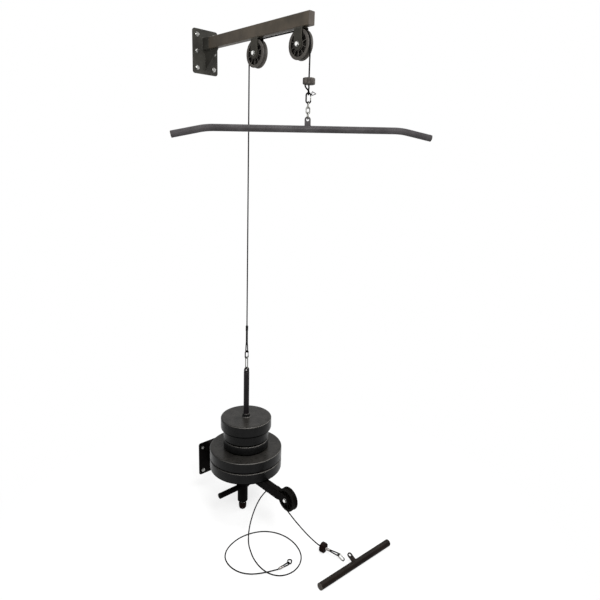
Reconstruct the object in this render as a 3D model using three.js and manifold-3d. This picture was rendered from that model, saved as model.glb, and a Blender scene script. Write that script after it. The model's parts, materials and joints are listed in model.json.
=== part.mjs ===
// Wall pulley with a plate-loaded stack: an upper arm with two pulleys, a lower arm with one,
// a hanging rod with five weight plates, a lat bar, a loose low cable and a short bar.
// Millimetres. The wall is the plane y = 0, the pulley reaches out along -Y, +Z is up.
// The origin is the middle of the upper wall plate's back face.
import * as THREE from 'three';
import { mergeVertices } from 'three/addons/utils/BufferGeometryUtils.js';
import Module from 'manifold-3d';

const wasm = await Module();
wasm.setup();

// Clearances between neighbouring pieces, and the overrun of a cutting solid.
const FIT = {
  seat: 0.3,
  pin: 0.3,
  rodInPlate: 2,
  linkInHole: 0.8,
  gateTip: 0.4,
  overrun: 5,
};

// Counts of facets.
const FACETS = {
  bolt: 12,
  hexagon: 6,
  hole: 12,
  corner: 2,
  tube: 8,
  rod: 20,
  post: 20,
  plate: 40,
  wheel: 32,
  bearing: 16,
  stopper: 20,
  bar: 10,
  ringTurn: 14,
  bend: 8,
  wrap: 10,
  knee: 3,
  dome: 2,
};

// Wall plates.
const PLATE = {
  width: 138,
  height: 196,
  thickness: 6,
  cornerRadius: 12,
  boltSide: 46,
  boltRow: 72,
  boltHoleRadius: 5.6,
};

// Triangular web under each arm, welded to its plate.
const GUSSET = {
  reach: 104,
  drop: 92,
  thickness: 5,
  toe: 6,
};

// Box socket round the root of each arm, welded to its plate.
const SOCKET = {
  wall: 2.5,
  reach: 50,
};

// Wall bolts.
const WALL_BOLT = {
  shankRadius: 5,
  washerRadius: 10.5,
  washerThickness: 2,
  headRadius: 9.2,
  headHeight: 6.5,
};

// Arms of rectangular tube, and their places on the plates.
const ARM = {
  height: 50,
  width: 30,
  wall: 3,
  cornerRadius: 3,
  upperEnd: 727,
  lowerEnd: 618.5,
  upperRise: 34,
  lowerRise: 70,
  spacing: 2107,
};

// Plastic plug in the end of the upper arm.
const ARM_CAP = {
  flange: 3,
  plugDepth: 20,
  plugRadius: 1.5,
};

// Clevis brackets that carry the pulleys.
const BRACKET = {
  sheet: 3,
  inside: 30,
  width: 44,
  endRadius: 22,
  reach: 60.8,
  lowRise: 5,
};

// Axle bolts with a hexagon head at one side and a nut at the other.
const AXLE = {
  radius: 5,
  washerRadius: 10.5,
  washerThickness: 1.6,
  headRadius: 9.2,
  headHeight: 6.5,
  nutHeight: 8,
  tip: 3,
};

// Steel cable.
const CABLE = {
  radius: 3,
};

// Nylon pulleys.
const PULLEY = {
  radius: 57,
  width: 26,
  pitchRadius: 53.5,
  grooveFloorHalf: 2.4,
  grooveFlareDepth: 3.4,
  grooveFlareHalf: 4.9,
  rimLand: 3,
  rimInner: 45,
  webHalf: 4,
  hubRadius: 24,
  ribHalfWidth: 11.5,
  ribThickness: 3,
  ribs: 10,
  ribSink: 1,
  rearOut: 399.5,
  frontOut: 672.5,
};

// Ball bearing of a pulley.
const BEARING = {
  outerRadius: 17.5,
  innerRingRadius: 8,
};

// Loading rod with a round base and a flat eye at the top.
const ROD = {
  radius: 14,
  length: 553,
  baseRadius: 40,
  baseThickness: 3,
  baseEdge: 1,
  tongueThickness: 8,
  tongueHeight: 27,
  holeRadius: 6.5,
  holeDrop: 14,
};

// Rubber pad between the rod's base and the lower arm.
const PAD = {
  width: 28,
  length: 60,
  thickness: 3,
  cornerRadius: 4,
};

// Weight plates: two wide ones, two narrow ones and a deeper one on top.
const WEIGHT = {
  wideRadius: 185,
  wideThickness: 58.5,
  narrowRadius: 115,
  thinThickness: 49,
  narrowThickness: 54,
  topRadius: 129,
  topThickness: 60,
};
// The stack, from the bottom up.
const WEIGHTS = [
  { name: 'weight_plate_1', radius: WEIGHT.wideRadius, thickness: WEIGHT.wideThickness },
  { name: 'weight_plate_2', radius: WEIGHT.wideRadius, thickness: WEIGHT.wideThickness },
  { name: 'weight_plate_3', radius: WEIGHT.narrowRadius, thickness: WEIGHT.thinThickness },
  { name: 'weight_plate_4', radius: WEIGHT.narrowRadius, thickness: WEIGHT.narrowThickness },
  { name: 'weight_plate_5', radius: WEIGHT.topRadius, thickness: WEIGHT.topThickness },
];
const WEIGHT_EDGE = {
  round: 7,
  roundMidShare: 0.3,
};

// Oval carabiners with a sprung gate.
const CARABINER = {
  length: 44,
  width: 24,
  wire: 3,
  gateRadius: 2.3,
  gateTop: 8,
  gateBottom: 9,
};

// Long closed links.
const LINK = {
  length: 70,
  width: 21,
  wire: 2.5,
};

// Eyes at the cable ends: a crimped sleeve with a loop of cable.
const EYE = {
  sleeveRadius: 6.4,
  sleeveEdge: 1.2,
  sleeveLength: 26,
  legGap: 7,
  bowHalf: 7.4,
  bowLength: 40,
  rearLength: 140,
  lowLength: 62,
  latLength: 39,
  hookLength: 78,
};

// Cable stoppers.
const STOPPER = {
  radius: 24.5,
  height: 24.5,
  edge: 2.5,
  frontRun: 125,
};

// Lat bar with bent ends and an eye tab.
const LAT_BAR = {
  radius: 13.5,
  straightHalf: 396,
  endRun: 135,
  endDrop: 27.5,
  bendHalf: 30,
  yaw: THREE.MathUtils.degToRad(-31),
  tilt: THREE.MathUtils.degToRad(-1.6),
};

// Flat eye tabs of the two bars.
const TAB = {
  thickness: 6,
  halfWidth: 12,
  holeRadius: 6,
  latHoleRise: 36,
  shortHoleRise: 45,
};

// Short straight bar lying on the floor.
const SHORT_BAR = {
  radius: 16.5,
  length: 458,
  edge: 1.5,
  x: 138,
  out: 1011,
  yaw: THREE.MathUtils.degToRad(-2.7),
  tabRaise: THREE.MathUtils.degToRad(25),
};

// Leg under the lower arm with its foot rest and levelling foot.
const LEG = {
  out: 321,
  radius: 27,
  wall: 3,
  length: 164,
  plug: 14,
  edge: 2,
};
const FOOT_REST = {
  radius: 14.5,
  length: 300,
  edge: 1,
  drop: 77,
};
const FOOT = {
  studRadius: 12,
  studInLeg: 36,
  neck: 14,
  knobRadius: 20.5,
  floorDrop: 2313,
  roundShare: 0.45,
  roundMidShare: 0.3,
};

// Places of the loose ends on the floor, as distances to the right of the stack and out of the wall.
const LOW_ENDS = {
  wrapAngle: THREE.MathUtils.degToRad(45),
  stopperX: 92,
  stopperOut: 843,
  stopperHeading: THREE.MathUtils.degToRad(-76.8),
  eyeX: -150,
  eyeOut: 796.5,
  eyeHeading: THREE.MathUtils.degToRad(-4),
  carabinerTurn: THREE.MathUtils.degToRad(45),
};

// Routes of the two loose stretches of the low cable, chosen by hand.
const LOW_LOOP_ROUTE = [
  [0, -626, -2055], [-1, -625.5, -2041], [-7, -621, -2029], [-20, -611, -2023],
  [-38, -598, -2030], [-58, -583, -2051], [-76, -570, -2080], [-91, -560, -2114],
  [-104, -551, -2156], [-114, -544, -2200], [-122, -540, -2242], [-130, -543, -2277],
  [-141, -556, -2299], [-156, -579, -2308], [-173, -614, -2310], [-190, -655, -2310],
  [-201, -700, -2310], [-204, -741, -2310], [-199, -778, -2310], [-186, -806, -2310],
  [-166, -828, -2310], [-133, -843, -2310], [-94, -845, -2310], [-50, -830, -2310],
  [-12, -798, -2310], [13, -751, -2310], [24, -695, -2310], [19, -638, -2310],
  [-3, -586, -2310], [-40, -545, -2310], [-92, -518, -2310], [-155, -507, -2310],
  [-214, -516, -2310], [-260, -538, -2310], [-290, -570, -2310], [-304, -610, -2310],
  [-304, -655, -2310], [-291, -697, -2309], [-264, -736, -2306], [-232, -762, -2303],
  [-202, -779, -2301.5], [-176, -789, -2302],
];
const LOW_FRONT_ROUTE = [
  [6, -679, -2143], [24, -705, -2181], [46, -734, -2222],
  [66, -763, -2257], [80, -791, -2279], [86, -815, -2288],
];
const LOOSE_STEPS = { loop: 80, front: 26 };

// Places worked out from the sizes.
const armUnder = ARM.upperRise - ARM.height / 2;
const upperAxleZ = armUnder - FIT.seat - BRACKET.reach;
const lowerArmZ = ARM.upperRise - ARM.spacing;
const lowerPlateZ = lowerArmZ - ARM.lowerRise;
const armTopLow = lowerArmZ + ARM.height / 2;
const lowAxleOut = ARM.lowerEnd + FIT.seat + BRACKET.reach;
const lowAxleZ = lowerArmZ + BRACKET.lowRise;
const rearCableY = -PULLEY.rearOut + PULLEY.pitchRadius;
const frontCableY = -PULLEY.frontOut - PULLEY.pitchRadius;
const floorZ = -FOOT.floorDrop;
const grooveFloor = PULLEY.pitchRadius - CABLE.radius - FIT.seat;
const rodBaseZ = armTopLow + FIT.seat + PAD.thickness + FIT.seat;
const rodHoleZ = rodBaseZ + ROD.length - ROD.holeDrop;
const stopperTopZ = upperAxleZ - STOPPER.frontRun;
const lowEyeHeight = EYE.bowHalf + CABLE.radius + FIT.seat;

// Colours, roughness and metalness of the finishes.
const FINISH = {
  blackPaint: { color: 0x2b2727, roughness: 0.5, metalness: 0.3 },
  brownPaint: { color: 0x50463e, roughness: 0.5, metalness: 0.35 },
  zinc: { color: 0xc9c9c6, roughness: 0.3, metalness: 0.9 },
  nylon: { color: 0x2a2624, roughness: 0.55, metalness: 0 },
  bearingSteel: { color: 0xa9abad, roughness: 0.3, metalness: 0.9 },
  cable: { color: 0x1c1a1a, roughness: 0.5, metalness: 0.1 },
  barPaint: { color: 0x5a5858, roughness: 0.4, metalness: 0.5 },
  rodPaint: { color: 0x262123, roughness: 0.45, metalness: 0.4 },
  weight: { color: 0x2c2b2b, roughness: 0.55, metalness: 0.2 },
  rubber: { color: 0x241a17, roughness: 0.8, metalness: 0 },
  plastic: { color: 0x3f3733, roughness: 0.6, metalness: 0 },
  floorBar: { color: 0x2a211c, roughness: 0.5, metalness: 0.3 },
};

const tool = new THREE.Matrix4();
const AXIS_X = new THREE.Vector3(1, 0, 0);
const AXIS_Y = new THREE.Vector3(0, 1, 0);
const AXIS_Z = new THREE.Vector3(0, 0, 1);

// A closed solid from a geometry, with faces turned outwards.
function solidOf(geometry) {
  const bare = geometry.index ? geometry.toNonIndexed() : geometry.clone();
  bare.deleteAttribute('normal');
  bare.deleteAttribute('uv');
  const merged = mergeVertices(bare);
  const source = merged.index.array;
  const kept = [];
  for (let i = 0; i < source.length; i += 3) {
    const [a, b, c] = [source[i], source[i + 1], source[i + 2]];
    if (a !== b && b !== c && c !== a) kept.push(a, b, c);
  }
  const vertProperties = new Float32Array(merged.attributes.position.array);
  const build = (list) => new wasm.Manifold(
    new wasm.Mesh({ numProp: 3, vertProperties, triVerts: new Uint32Array(list) }),
  );
  const solid = build(kept);
  if (solid.volume() > 0) return solid;
  const flipped = [];
  for (let i = 0; i < kept.length; i += 3) flipped.push(kept[i], kept[i + 2], kept[i + 1]);
  return build(flipped);
}

function geometryOf(solid) {
  const mesh = solid.getMesh();
  const geometry = new THREE.BufferGeometry();
  const positions = new Float32Array(mesh.numVert * 3);
  for (let i = 0; i < mesh.numVert; i += 1) {
    for (let k = 0; k < 3; k += 1) positions[i * 3 + k] = mesh.vertProperties[i * mesh.numProp + k];
  }
  geometry.setAttribute('position', new THREE.BufferAttribute(positions, 3));
  geometry.setIndex(new THREE.BufferAttribute(new Uint32Array(mesh.triVerts), 1));
  geometry.computeVertexNormals();
  return geometry;
}

function join(...geometries) {
  return geometryOf(geometries.map(solidOf).reduce((sum, next) => sum.add(next)));
}

function cut(geometry, ...tools) {
  return geometryOf(tools.map(solidOf).reduce((rest, next) => rest.subtract(next), solidOf(geometry)));
}

// A cylinder along an axis, from one distance to another.
function roundBar(axis, radius, from, to, sides) {
  const geometry = new THREE.CylinderGeometry(radius, radius, to - from, sides);
  geometry.translate(0, (from + to) / 2, 0);
  if (axis === AXIS_X) geometry.rotateZ(-Math.PI / 2);
  if (axis === AXIS_Z) geometry.rotateX(Math.PI / 2);
  return geometry;
}

// A turned piece about an axis, from points of radius and height.
function turned(axis, points, sides) {
  const profile = points.map(([r, h]) => new THREE.Vector2(r, h));
  const geometry = new THREE.LatheGeometry(profile, sides);
  if (axis === AXIS_X) geometry.rotateZ(-Math.PI / 2);
  if (axis === AXIS_Z) geometry.rotateX(Math.PI / 2);
  return geometry;
}

function roundedRectangle(width, height, radius, shape = new THREE.Shape()) {
  const [w, h] = [width / 2, height / 2];
  shape.moveTo(-w + radius, -h);
  shape.lineTo(w - radius, -h);
  shape.absarc(w - radius, -h + radius, radius, -Math.PI / 2, 0);
  shape.lineTo(w, h - radius);
  shape.absarc(w - radius, h - radius, radius, 0, Math.PI / 2);
  shape.lineTo(-w + radius, h);
  shape.absarc(-w + radius, h - radius, radius, Math.PI / 2, Math.PI);
  shape.lineTo(-w, -h + radius);
  shape.absarc(-w + radius, -h + radius, radius, Math.PI, Math.PI * 1.5);
  return shape;
}

function extruded(shape, depth, curveSegments) {
  return new THREE.ExtrudeGeometry(shape, { depth, bevelEnabled: false, curveSegments });
}

// An outline drawn outwards and upwards, made into a sheet across the middle plane.
function sideSheet(shape, thickness, curveSegments) {
  const geometry = extruded(shape, thickness, curveSegments);
  geometry.translate(0, 0, -thickness / 2);
  tool.makeBasis(new THREE.Vector3(0, -1, 0), AXIS_Z, new THREE.Vector3(-1, 0, 0));
  return geometry.applyMatrix4(tool);
}

// A route through chosen points, with one step of the tube between neighbours.
class Route extends THREE.Curve {
  constructor(points) {
    super();
    this.points = points;
  }

  getPoint(t, target = new THREE.Vector3()) {
    const last = this.points.length - 1;
    const index = Math.min(Math.floor(t * last + Number.EPSILON * last), last - 1);
    return target.lerpVectors(this.points[index], this.points[index + 1], t * last - index);
  }

  getPointAt(t, target) {
    return this.getPoint(t, target);
  }

  getTangentAt(t, target = new THREE.Vector3()) {
    const last = this.points.length - 1;
    const index = Math.round(t * last);
    const here = this.points[index];
    const before = this.points[Math.max(index - 1, 0)];
    const after = this.points[Math.min(index + 1, last)];
    const into = here.clone().sub(before).normalize();
    const outOf = after.clone().sub(here).normalize();
    return target.addVectors(into, outOf).normalize();
  }
}

// A tube of one section along a list of points.
function tubeAlong(points, radius, sides) {
  const corners = [];
  for (let i = 0; i < sides; i += 1) {
    const turn = (i / sides) * Math.PI * 2;
    corners.push(new THREE.Vector2(Math.cos(turn) * radius, Math.sin(turn) * radius));
  }
  const section = new THREE.Shape(corners);
  const options = { steps: points.length - 1, extrudePath: new Route(points), bevelEnabled: false };
  return geometryOf(solidOf(new THREE.ExtrudeGeometry(section, options)));
}

// Points of a circular arc in the plane of two directions, both ends included.
function arcPoints(centre, first, second, radius, from, to, count) {
  const points = [];
  for (let i = 0; i <= count; i += 1) {
    const turn = from + (to - from) * (i / count);
    points.push(centre.clone()
      .addScaledVector(first, Math.cos(turn) * radius)
      .addScaledVector(second, Math.sin(turn) * radius));
  }
  return points;
}

function at(x, y, z) {
  return new THREE.Vector3(x, y, z);
}

// The finished scene: groups for the moving sets, with one named mesh for each piece.
const assembly = new THREE.Group();

function place(parent, name, geometry, finish, position = [0, 0, 0]) {
  const mesh = new THREE.Mesh(geometry, new THREE.MeshStandardMaterial(FINISH[finish]));
  mesh.name = name;
  mesh.position.set(...position);
  parent.add(mesh);
  return mesh;
}

function groupAt(parent, position) {
  const group = new THREE.Group();
  group.position.set(...position);
  parent.add(group);
  return group;
}

// Wall plate with its bolt holes, the welded socket of its arm and the gusset.
function wallPlate(columns, rows, armRise) {
  const shape = roundedRectangle(PLATE.width, PLATE.height, PLATE.cornerRadius);
  for (const x of columns) {
    for (const z of rows) {
      const hole = new THREE.Path();
      hole.absarc(x, z, PLATE.boltHoleRadius, 0, Math.PI * 2, true);
      shape.holes.push(hole);
    }
  }
  const plate = extruded(shape, PLATE.thickness, FACETS.corner * 2).rotateX(Math.PI / 2);
  const [inWidth, inHeight] = [ARM.width + FIT.pin * 2, ARM.height + FIT.pin * 2];
  const walls = SOCKET.wall * 2;
  const sleeve = roundedRectangle(inWidth + walls, inHeight + walls, ARM.cornerRadius + SOCKET.wall);
  sleeve.holes.push(roundedRectangle(inWidth, inHeight, ARM.cornerRadius, new THREE.Path()));
  const depth = PLATE.thickness / 2 + SOCKET.reach;
  const socket = extruded(sleeve, depth, FACETS.corner).rotateX(Math.PI / 2);
  socket.translate(0, -PLATE.thickness / 2, armRise);
  const seat = armRise - ARM.height / 2 - FIT.seat;
  const web = new THREE.Shape();
  web.moveTo(PLATE.thickness / 2, seat);
  web.lineTo(PLATE.thickness + GUSSET.reach, seat);
  web.lineTo(PLATE.thickness + GUSSET.reach, seat - GUSSET.toe);
  web.lineTo(PLATE.thickness, seat - GUSSET.drop);
  web.lineTo(PLATE.thickness / 2, seat - GUSSET.drop);
  return join(plate, socket, sideSheet(web, GUSSET.thickness, 1));
}

function wallBolt() {
  const seat = -PLATE.thickness - FIT.seat;
  const washer = seat - WALL_BOLT.washerThickness;
  const top = washer - WALL_BOLT.headHeight;
  return join(
    roundBar(AXIS_Y, WALL_BOLT.shankRadius, washer - WALL_BOLT.headHeight / 2, -FIT.seat, FACETS.bolt),
    roundBar(AXIS_Y, WALL_BOLT.washerRadius, washer, seat, FACETS.bolt),
    roundBar(AXIS_Y, WALL_BOLT.headRadius, top, washer + WALL_BOLT.washerThickness / 2, FACETS.hexagon),
  );
}

function armTube(end) {
  const start = PLATE.thickness + FIT.seat;
  const shape = roundedRectangle(ARM.width, ARM.height, ARM.cornerRadius);
  const inner = ARM.wall * 2;
  const bore = ARM.cornerRadius / 2;
  shape.holes.push(roundedRectangle(ARM.width - inner, ARM.height - inner, bore, new THREE.Path()));
  return extruded(shape, end - start, FACETS.corner).rotateX(Math.PI / 2).translate(0, -start, 0);
}

function armCap() {
  const flange = roundedRectangle(ARM.width, ARM.height, ARM.cornerRadius);
  const shrink = (ARM.wall + FIT.pin) * 2;
  const plug = roundedRectangle(ARM.width - shrink, ARM.height - shrink, ARM_CAP.plugRadius);
  const depth = ARM_CAP.plugDepth + ARM_CAP.flange / 2 + FIT.seat;
  return join(
    extruded(flange, ARM_CAP.flange, FACETS.corner).rotateX(Math.PI / 2).translate(0, -FIT.seat, 0),
    extruded(plug, depth, FACETS.corner).rotateX(Math.PI / 2).translate(0, ARM_CAP.plugDepth, 0),
  );
}

// Clevis bracket: its web faces up at the origin, its cheeks reach down to the axle.
function clevisBracket() {
  const cheek = new THREE.Shape();
  const half = BRACKET.width / 2;
  cheek.moveTo(-half, 0);
  cheek.lineTo(-half, -BRACKET.reach);
  cheek.absarc(0, -BRACKET.reach, BRACKET.endRadius, Math.PI, Math.PI * 2);
  cheek.lineTo(half, 0);
  const offset = (BRACKET.inside + BRACKET.sheet) / 2;
  const outer = BRACKET.inside + BRACKET.sheet * 2;
  const web = new THREE.BoxGeometry(outer, BRACKET.width, BRACKET.sheet);
  web.translate(0, 0, -BRACKET.sheet / 2);
  const solid = join(
    web,
    sideSheet(cheek, BRACKET.sheet, FACETS.rod / 2).translate(-offset, 0, 0),
    sideSheet(cheek, BRACKET.sheet, FACETS.rod / 2).translate(offset, 0, 0),
  );
  const reach = outer / 2 + FIT.overrun;
  const hole = roundBar(AXIS_X, AXLE.radius + FIT.pin, -reach, reach, FACETS.hole);
  return cut(solid, hole.translate(0, 0, -BRACKET.reach));
}

function axleBolt() {
  const face = BRACKET.inside / 2 + BRACKET.sheet + FIT.seat;
  const washer = face + AXLE.washerThickness;
  const head = washer + AXLE.headHeight;
  const nut = washer + AXLE.nutHeight;
  const bite = AXLE.washerThickness / 2;
  return join(
    roundBar(AXIS_X, AXLE.radius, -washer - AXLE.headHeight / 2, nut + AXLE.tip, FACETS.bolt),
    roundBar(AXIS_X, AXLE.washerRadius, -washer, -face, FACETS.bolt),
    roundBar(AXIS_X, AXLE.washerRadius, face, washer, FACETS.bolt),
    roundBar(AXIS_X, AXLE.headRadius, -head, -washer + bite, FACETS.hexagon),
    roundBar(AXIS_X, AXLE.headRadius, washer - bite, nut, FACETS.hexagon),
  );
}

function pulleyWheel() {
  const half = PULLEY.width / 2;
  const bore = BEARING.outerRadius + FIT.pin;
  const flare = grooveFloor + PULLEY.grooveFlareDepth;
  const side = [
    [bore, half], [PULLEY.hubRadius, half], [PULLEY.hubRadius, PULLEY.webHalf],
    [PULLEY.rimInner, PULLEY.webHalf], [PULLEY.rimInner, half], [PULLEY.radius, half],
    [PULLEY.radius, half - PULLEY.rimLand], [flare, PULLEY.grooveFlareHalf],
    [grooveFloor, PULLEY.grooveFloorHalf],
  ];
  const mirrored = side.map(([r, h]) => [r, -h]).reverse();
  const closed = [...side, ...mirrored, side[0]];
  const wheel = turned(AXIS_X, closed, FACETS.wheel);
  const from = PULLEY.hubRadius - PULLEY.ribSink;
  const to = PULLEY.rimInner + PULLEY.ribSink;
  const ribs = [];
  for (let i = 0; i < PULLEY.ribs; i += 1) {
    const rib = new THREE.BoxGeometry(PULLEY.ribHalfWidth * 2, PULLEY.ribThickness, to - from);
    rib.translate(0, 0, (from + to) / 2).rotateX((i / PULLEY.ribs) * Math.PI * 2);
    ribs.push(rib);
  }
  return join(wheel, ...ribs);
}

function pulleyBearing() {
  const bore = AXLE.radius + FIT.pin;
  const inner = BRACKET.inside / 2 - FIT.seat;
  const outer = PULLEY.width / 2;
  return turned(AXIS_X, [
    [bore, inner], [BEARING.innerRingRadius, inner], [BEARING.innerRingRadius, outer],
    [BEARING.outerRadius, outer], [BEARING.outerRadius, -outer],
    [BEARING.innerRingRadius, -outer], [BEARING.innerRingRadius, -inner],
    [bore, -inner], [bore, inner],
  ], FACETS.bearing);
}

function weightPlate(radius, thickness) {
  const bore = ROD.radius + FIT.rodInPlate;
  const { round, roundMidShare } = WEIGHT_EDGE;
  const mid = round * roundMidShare;
  return turned(AXIS_Z, [
    [bore, 0], [radius - round, 0], [radius - mid, mid], [radius, round],
    [radius, thickness - round], [radius - mid, thickness - mid], [radius - round, thickness],
    [bore, thickness], [bore, 0],
  ], FACETS.plate);
}

function loadingRod() {
  const { radius, length, baseRadius, baseThickness, baseEdge } = ROD;
  const body = turned(AXIS_Z, [
    [0, 0], [baseRadius - baseEdge, 0], [baseRadius, baseEdge],
    [baseRadius, baseThickness - baseEdge], [baseRadius - baseEdge, baseThickness],
    [radius, baseThickness], [radius, length - radius], [0, length - radius],
  ], FACETS.rod);
  const dome = roundBar(AXIS_Y, radius, -radius, radius, FACETS.rod).translate(0, 0, length - radius);
  const cheek = radius + FIT.overrun;
  const cheekHeight = ROD.tongueHeight + FIT.overrun;
  const flats = [-1, 1].map((side) => {
    const block = new THREE.BoxGeometry(cheek * 2, cheek, cheekHeight);
    const y = side * (ROD.tongueThickness + cheek) / 2;
    return block.translate(0, y, length - ROD.tongueHeight + cheekHeight / 2);
  });
  const hole = roundBar(AXIS_Y, ROD.holeRadius, -cheek, cheek, FACETS.hole);
  return cut(join(body, dome), ...flats, hole.translate(0, 0, length - ROD.holeDrop));
}

function stackPad() {
  const shape = roundedRectangle(PAD.width, PAD.length, PAD.cornerRadius);
  return extruded(shape, PAD.thickness, FACETS.corner);
}

// Carabiner body: a ring in the middle plane with an opening in its right side.
function carabinerBody() {
  const { length, width, wire, gateTop, gateBottom } = CARABINER;
  const bend = width / 2 - wire;
  const straight = (length - width) / 2;
  const points = [
    at(bend, 0, gateTop + FIT.gateTip),
    ...arcPoints(at(0, 0, straight), AXIS_X, AXIS_Z, bend, 0, Math.PI, FACETS.bend),
    ...arcPoints(at(0, 0, -straight), AXIS_X, AXIS_Z, bend, Math.PI, Math.PI * 2, FACETS.bend),
    at(bend, 0, -gateBottom - FIT.gateTip),
  ];
  return tubeAlong(points, wire, FACETS.tube);
}

// Gate of a carabiner, upright, with its pivot at the origin.
function carabinerGate() {
  const { gateRadius, gateTop, gateBottom } = CARABINER;
  const length = gateTop + gateBottom - gateRadius * 2;
  const points = [];
  for (let i = 0; i <= FACETS.dome; i += 1) {
    const turn = (i / FACETS.dome - 1) * Math.PI / 2;
    points.push([Math.cos(turn) * gateRadius, Math.sin(turn) * gateRadius]);
  }
  for (let i = 0; i <= FACETS.dome; i += 1) {
    const turn = (i / FACETS.dome) * Math.PI / 2;
    points.push([Math.cos(turn) * gateRadius, length + Math.sin(turn) * gateRadius]);
  }
  points[0][0] = 0;
  points[points.length - 1][0] = 0;
  return geometryOf(solidOf(turned(AXIS_Z, points, FACETS.tube)));
}

// Closed link in the plane across the arm, upright and centred.
function closedLink() {
  const bend = LINK.width / 2 - LINK.wire;
  const stretch = (LINK.length - LINK.width) / 2;
  const ring = new THREE.TorusGeometry(bend, LINK.wire, FACETS.tube, FACETS.ringTurn);
  ring.rotateY(Math.PI / 2).rotateX(Math.PI / FACETS.ringTurn);
  const spots = ring.attributes.position;
  for (let i = 0; i < spots.count; i += 1) {
    const z = spots.getZ(i);
    spots.setZ(i, z + Math.sign(z) * stretch);
  }
  return geometryOf(solidOf(ring));
}

// Loop of cable hanging down from the origin, with its legs in the plane across the arm.
function cableBow(legHalf, length) {
  const { bowHalf, bowLength } = EYE;
  const straight = length - bowHalf;
  const waist = Math.max(straight - bowLength, 0);
  const down = [at(0, -legHalf, 0)];
  if (waist > 0) down.push(at(0, -legHalf, -waist));
  const up = down.map((point) => at(0, -point.y, point.z)).reverse();
  const round = arcPoints(at(0, 0, -straight), AXIS_Y, AXIS_Z, bowHalf, -Math.PI, 0, FACETS.bend);
  return tubeAlong([...down, ...round, ...up], CABLE.radius, FACETS.tube);
}

// Cable eye: a crimped sleeve at the top, then a loop down to the given length.
function cableEye(length) {
  const { sleeveRadius, sleeveEdge, sleeveLength, legGap } = EYE;
  const sleeve = turned(AXIS_Z, [
    [0, 0], [sleeveRadius - sleeveEdge, 0], [sleeveRadius, -sleeveEdge],
    [sleeveRadius, -sleeveLength + sleeveEdge], [sleeveRadius - sleeveEdge, -sleeveLength],
    [0, -sleeveLength],
  ], FACETS.bolt);
  const hidden = sleeveLength / 2;
  const bow = cableBow(legGap / 2, length - hidden).translate(0, 0, -hidden);
  return join(sleeve, bow);
}

function cableStopper() {
  const { radius, height, edge } = STOPPER;
  return geometryOf(solidOf(turned(AXIS_Z, [
    [0, 0], [radius - edge, 0], [radius, -edge], [radius, -height + edge],
    [radius - edge, -height], [0, -height],
  ], FACETS.stopper)));
}

// Eye tab standing on a bar: its plane holds the bar, its hole runs across.
function eyeTab(holeRise) {
  const shape = new THREE.Shape();
  const { halfWidth, thickness, holeRadius } = TAB;
  shape.moveTo(-halfWidth, 0);
  shape.lineTo(halfWidth, 0);
  shape.lineTo(halfWidth, holeRise);
  shape.absarc(0, holeRise, halfWidth, 0, Math.PI);
  const hole = new THREE.Path();
  hole.absarc(0, holeRise, holeRadius, 0, Math.PI * 2, true);
  shape.holes.push(hole);
  const sheet = extruded(shape, thickness, FACETS.bar);
  return sheet.rotateX(Math.PI / 2).translate(0, thickness / 2, 0);
}

function latBar() {
  const { radius, straightHalf, endRun, endDrop, bendHalf } = LAT_BAR;
  const slope = Math.hypot(endRun, endDrop);
  const side = (sign) => {
    const inner = at(sign * (straightHalf - bendHalf), 0, 0);
    const knee = at(sign * straightHalf, 0, 0);
    const tip = at(sign * (straightHalf + endRun), 0, -endDrop);
    const outer = knee.clone().lerp(tip, bendHalf / slope);
    return [...new THREE.QuadraticBezierCurve3(inner, knee, outer).getPoints(FACETS.knee), tip];
  };
  const bar = tubeAlong([...side(-1).reverse(), ...side(1)], radius, FACETS.bar);
  return join(bar, eyeTab(TAB.latHoleRise));
}

function shortBar() {
  const { radius, length, edge } = SHORT_BAR;
  const bar = turned(AXIS_X, [
    [0, -length / 2], [radius - edge, -length / 2], [radius, -length / 2 + edge],
    [radius, length / 2 - edge], [radius - edge, length / 2], [0, length / 2],
  ], FACETS.rod);
  return join(bar, eyeTab(TAB.shortHoleRise));
}

function footLeg() {
  const { radius, wall, length, plug, edge } = LEG;
  const bore = FOOT.studRadius + FIT.pin;
  const inner = radius - wall;
  const tube = turned(AXIS_Z, [
    [inner, 0], [radius, 0], [radius, -length + edge], [radius - edge, -length], [bore, -length],
    [bore, -length + plug], [inner, -length + plug], [inner, 0],
  ], FACETS.post);
  const reach = radius + FIT.overrun;
  const hole = roundBar(AXIS_X, FOOT_REST.radius + FIT.pin, -reach, reach, FACETS.rod);
  return cut(tube, hole.translate(0, 0, -FOOT_REST.drop));
}

function footRestBar() {
  const { radius, length, edge } = FOOT_REST;
  return geometryOf(solidOf(turned(AXIS_X, [
    [0, -length / 2], [radius - edge, -length / 2], [radius, -length / 2 + edge],
    [radius, length / 2 - edge], [radius - edge, length / 2], [0, length / 2],
  ], FACETS.rod)));
}

// Levelling foot: a stud that screws into the leg and a round-edged knob on the floor.
function levellingFoot(knobHeight) {
  const { studRadius, studInLeg, neck, knobRadius, roundShare, roundMidShare } = FOOT;
  const round = knobHeight * roundShare;
  const mid = round * roundMidShare;
  return geometryOf(solidOf(turned(AXIS_Z, [
    [0, studInLeg], [studRadius, studInLeg], [studRadius, -neck], [knobRadius - mid, -neck],
    [knobRadius, -neck - mid], [knobRadius, -neck - knobHeight + round],
    [knobRadius - mid, -neck - knobHeight + mid], [knobRadius - round, -neck - knobHeight],
    [0, -neck - knobHeight],
  ], FACETS.post)));
}

// Cable end below the lat stopper: a loop of cable and a carabiner, hanging down from the origin.
const eyeBottom = -FIT.seat - EYE.latLength + CABLE.radius;
const contact = CABLE.radius + CARABINER.wire + FIT.seat;
const linkContact = LINK.wire + CARABINER.wire + FIT.seat;
const ringHalf = CARABINER.length / 2 - CARABINER.wire;

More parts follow.
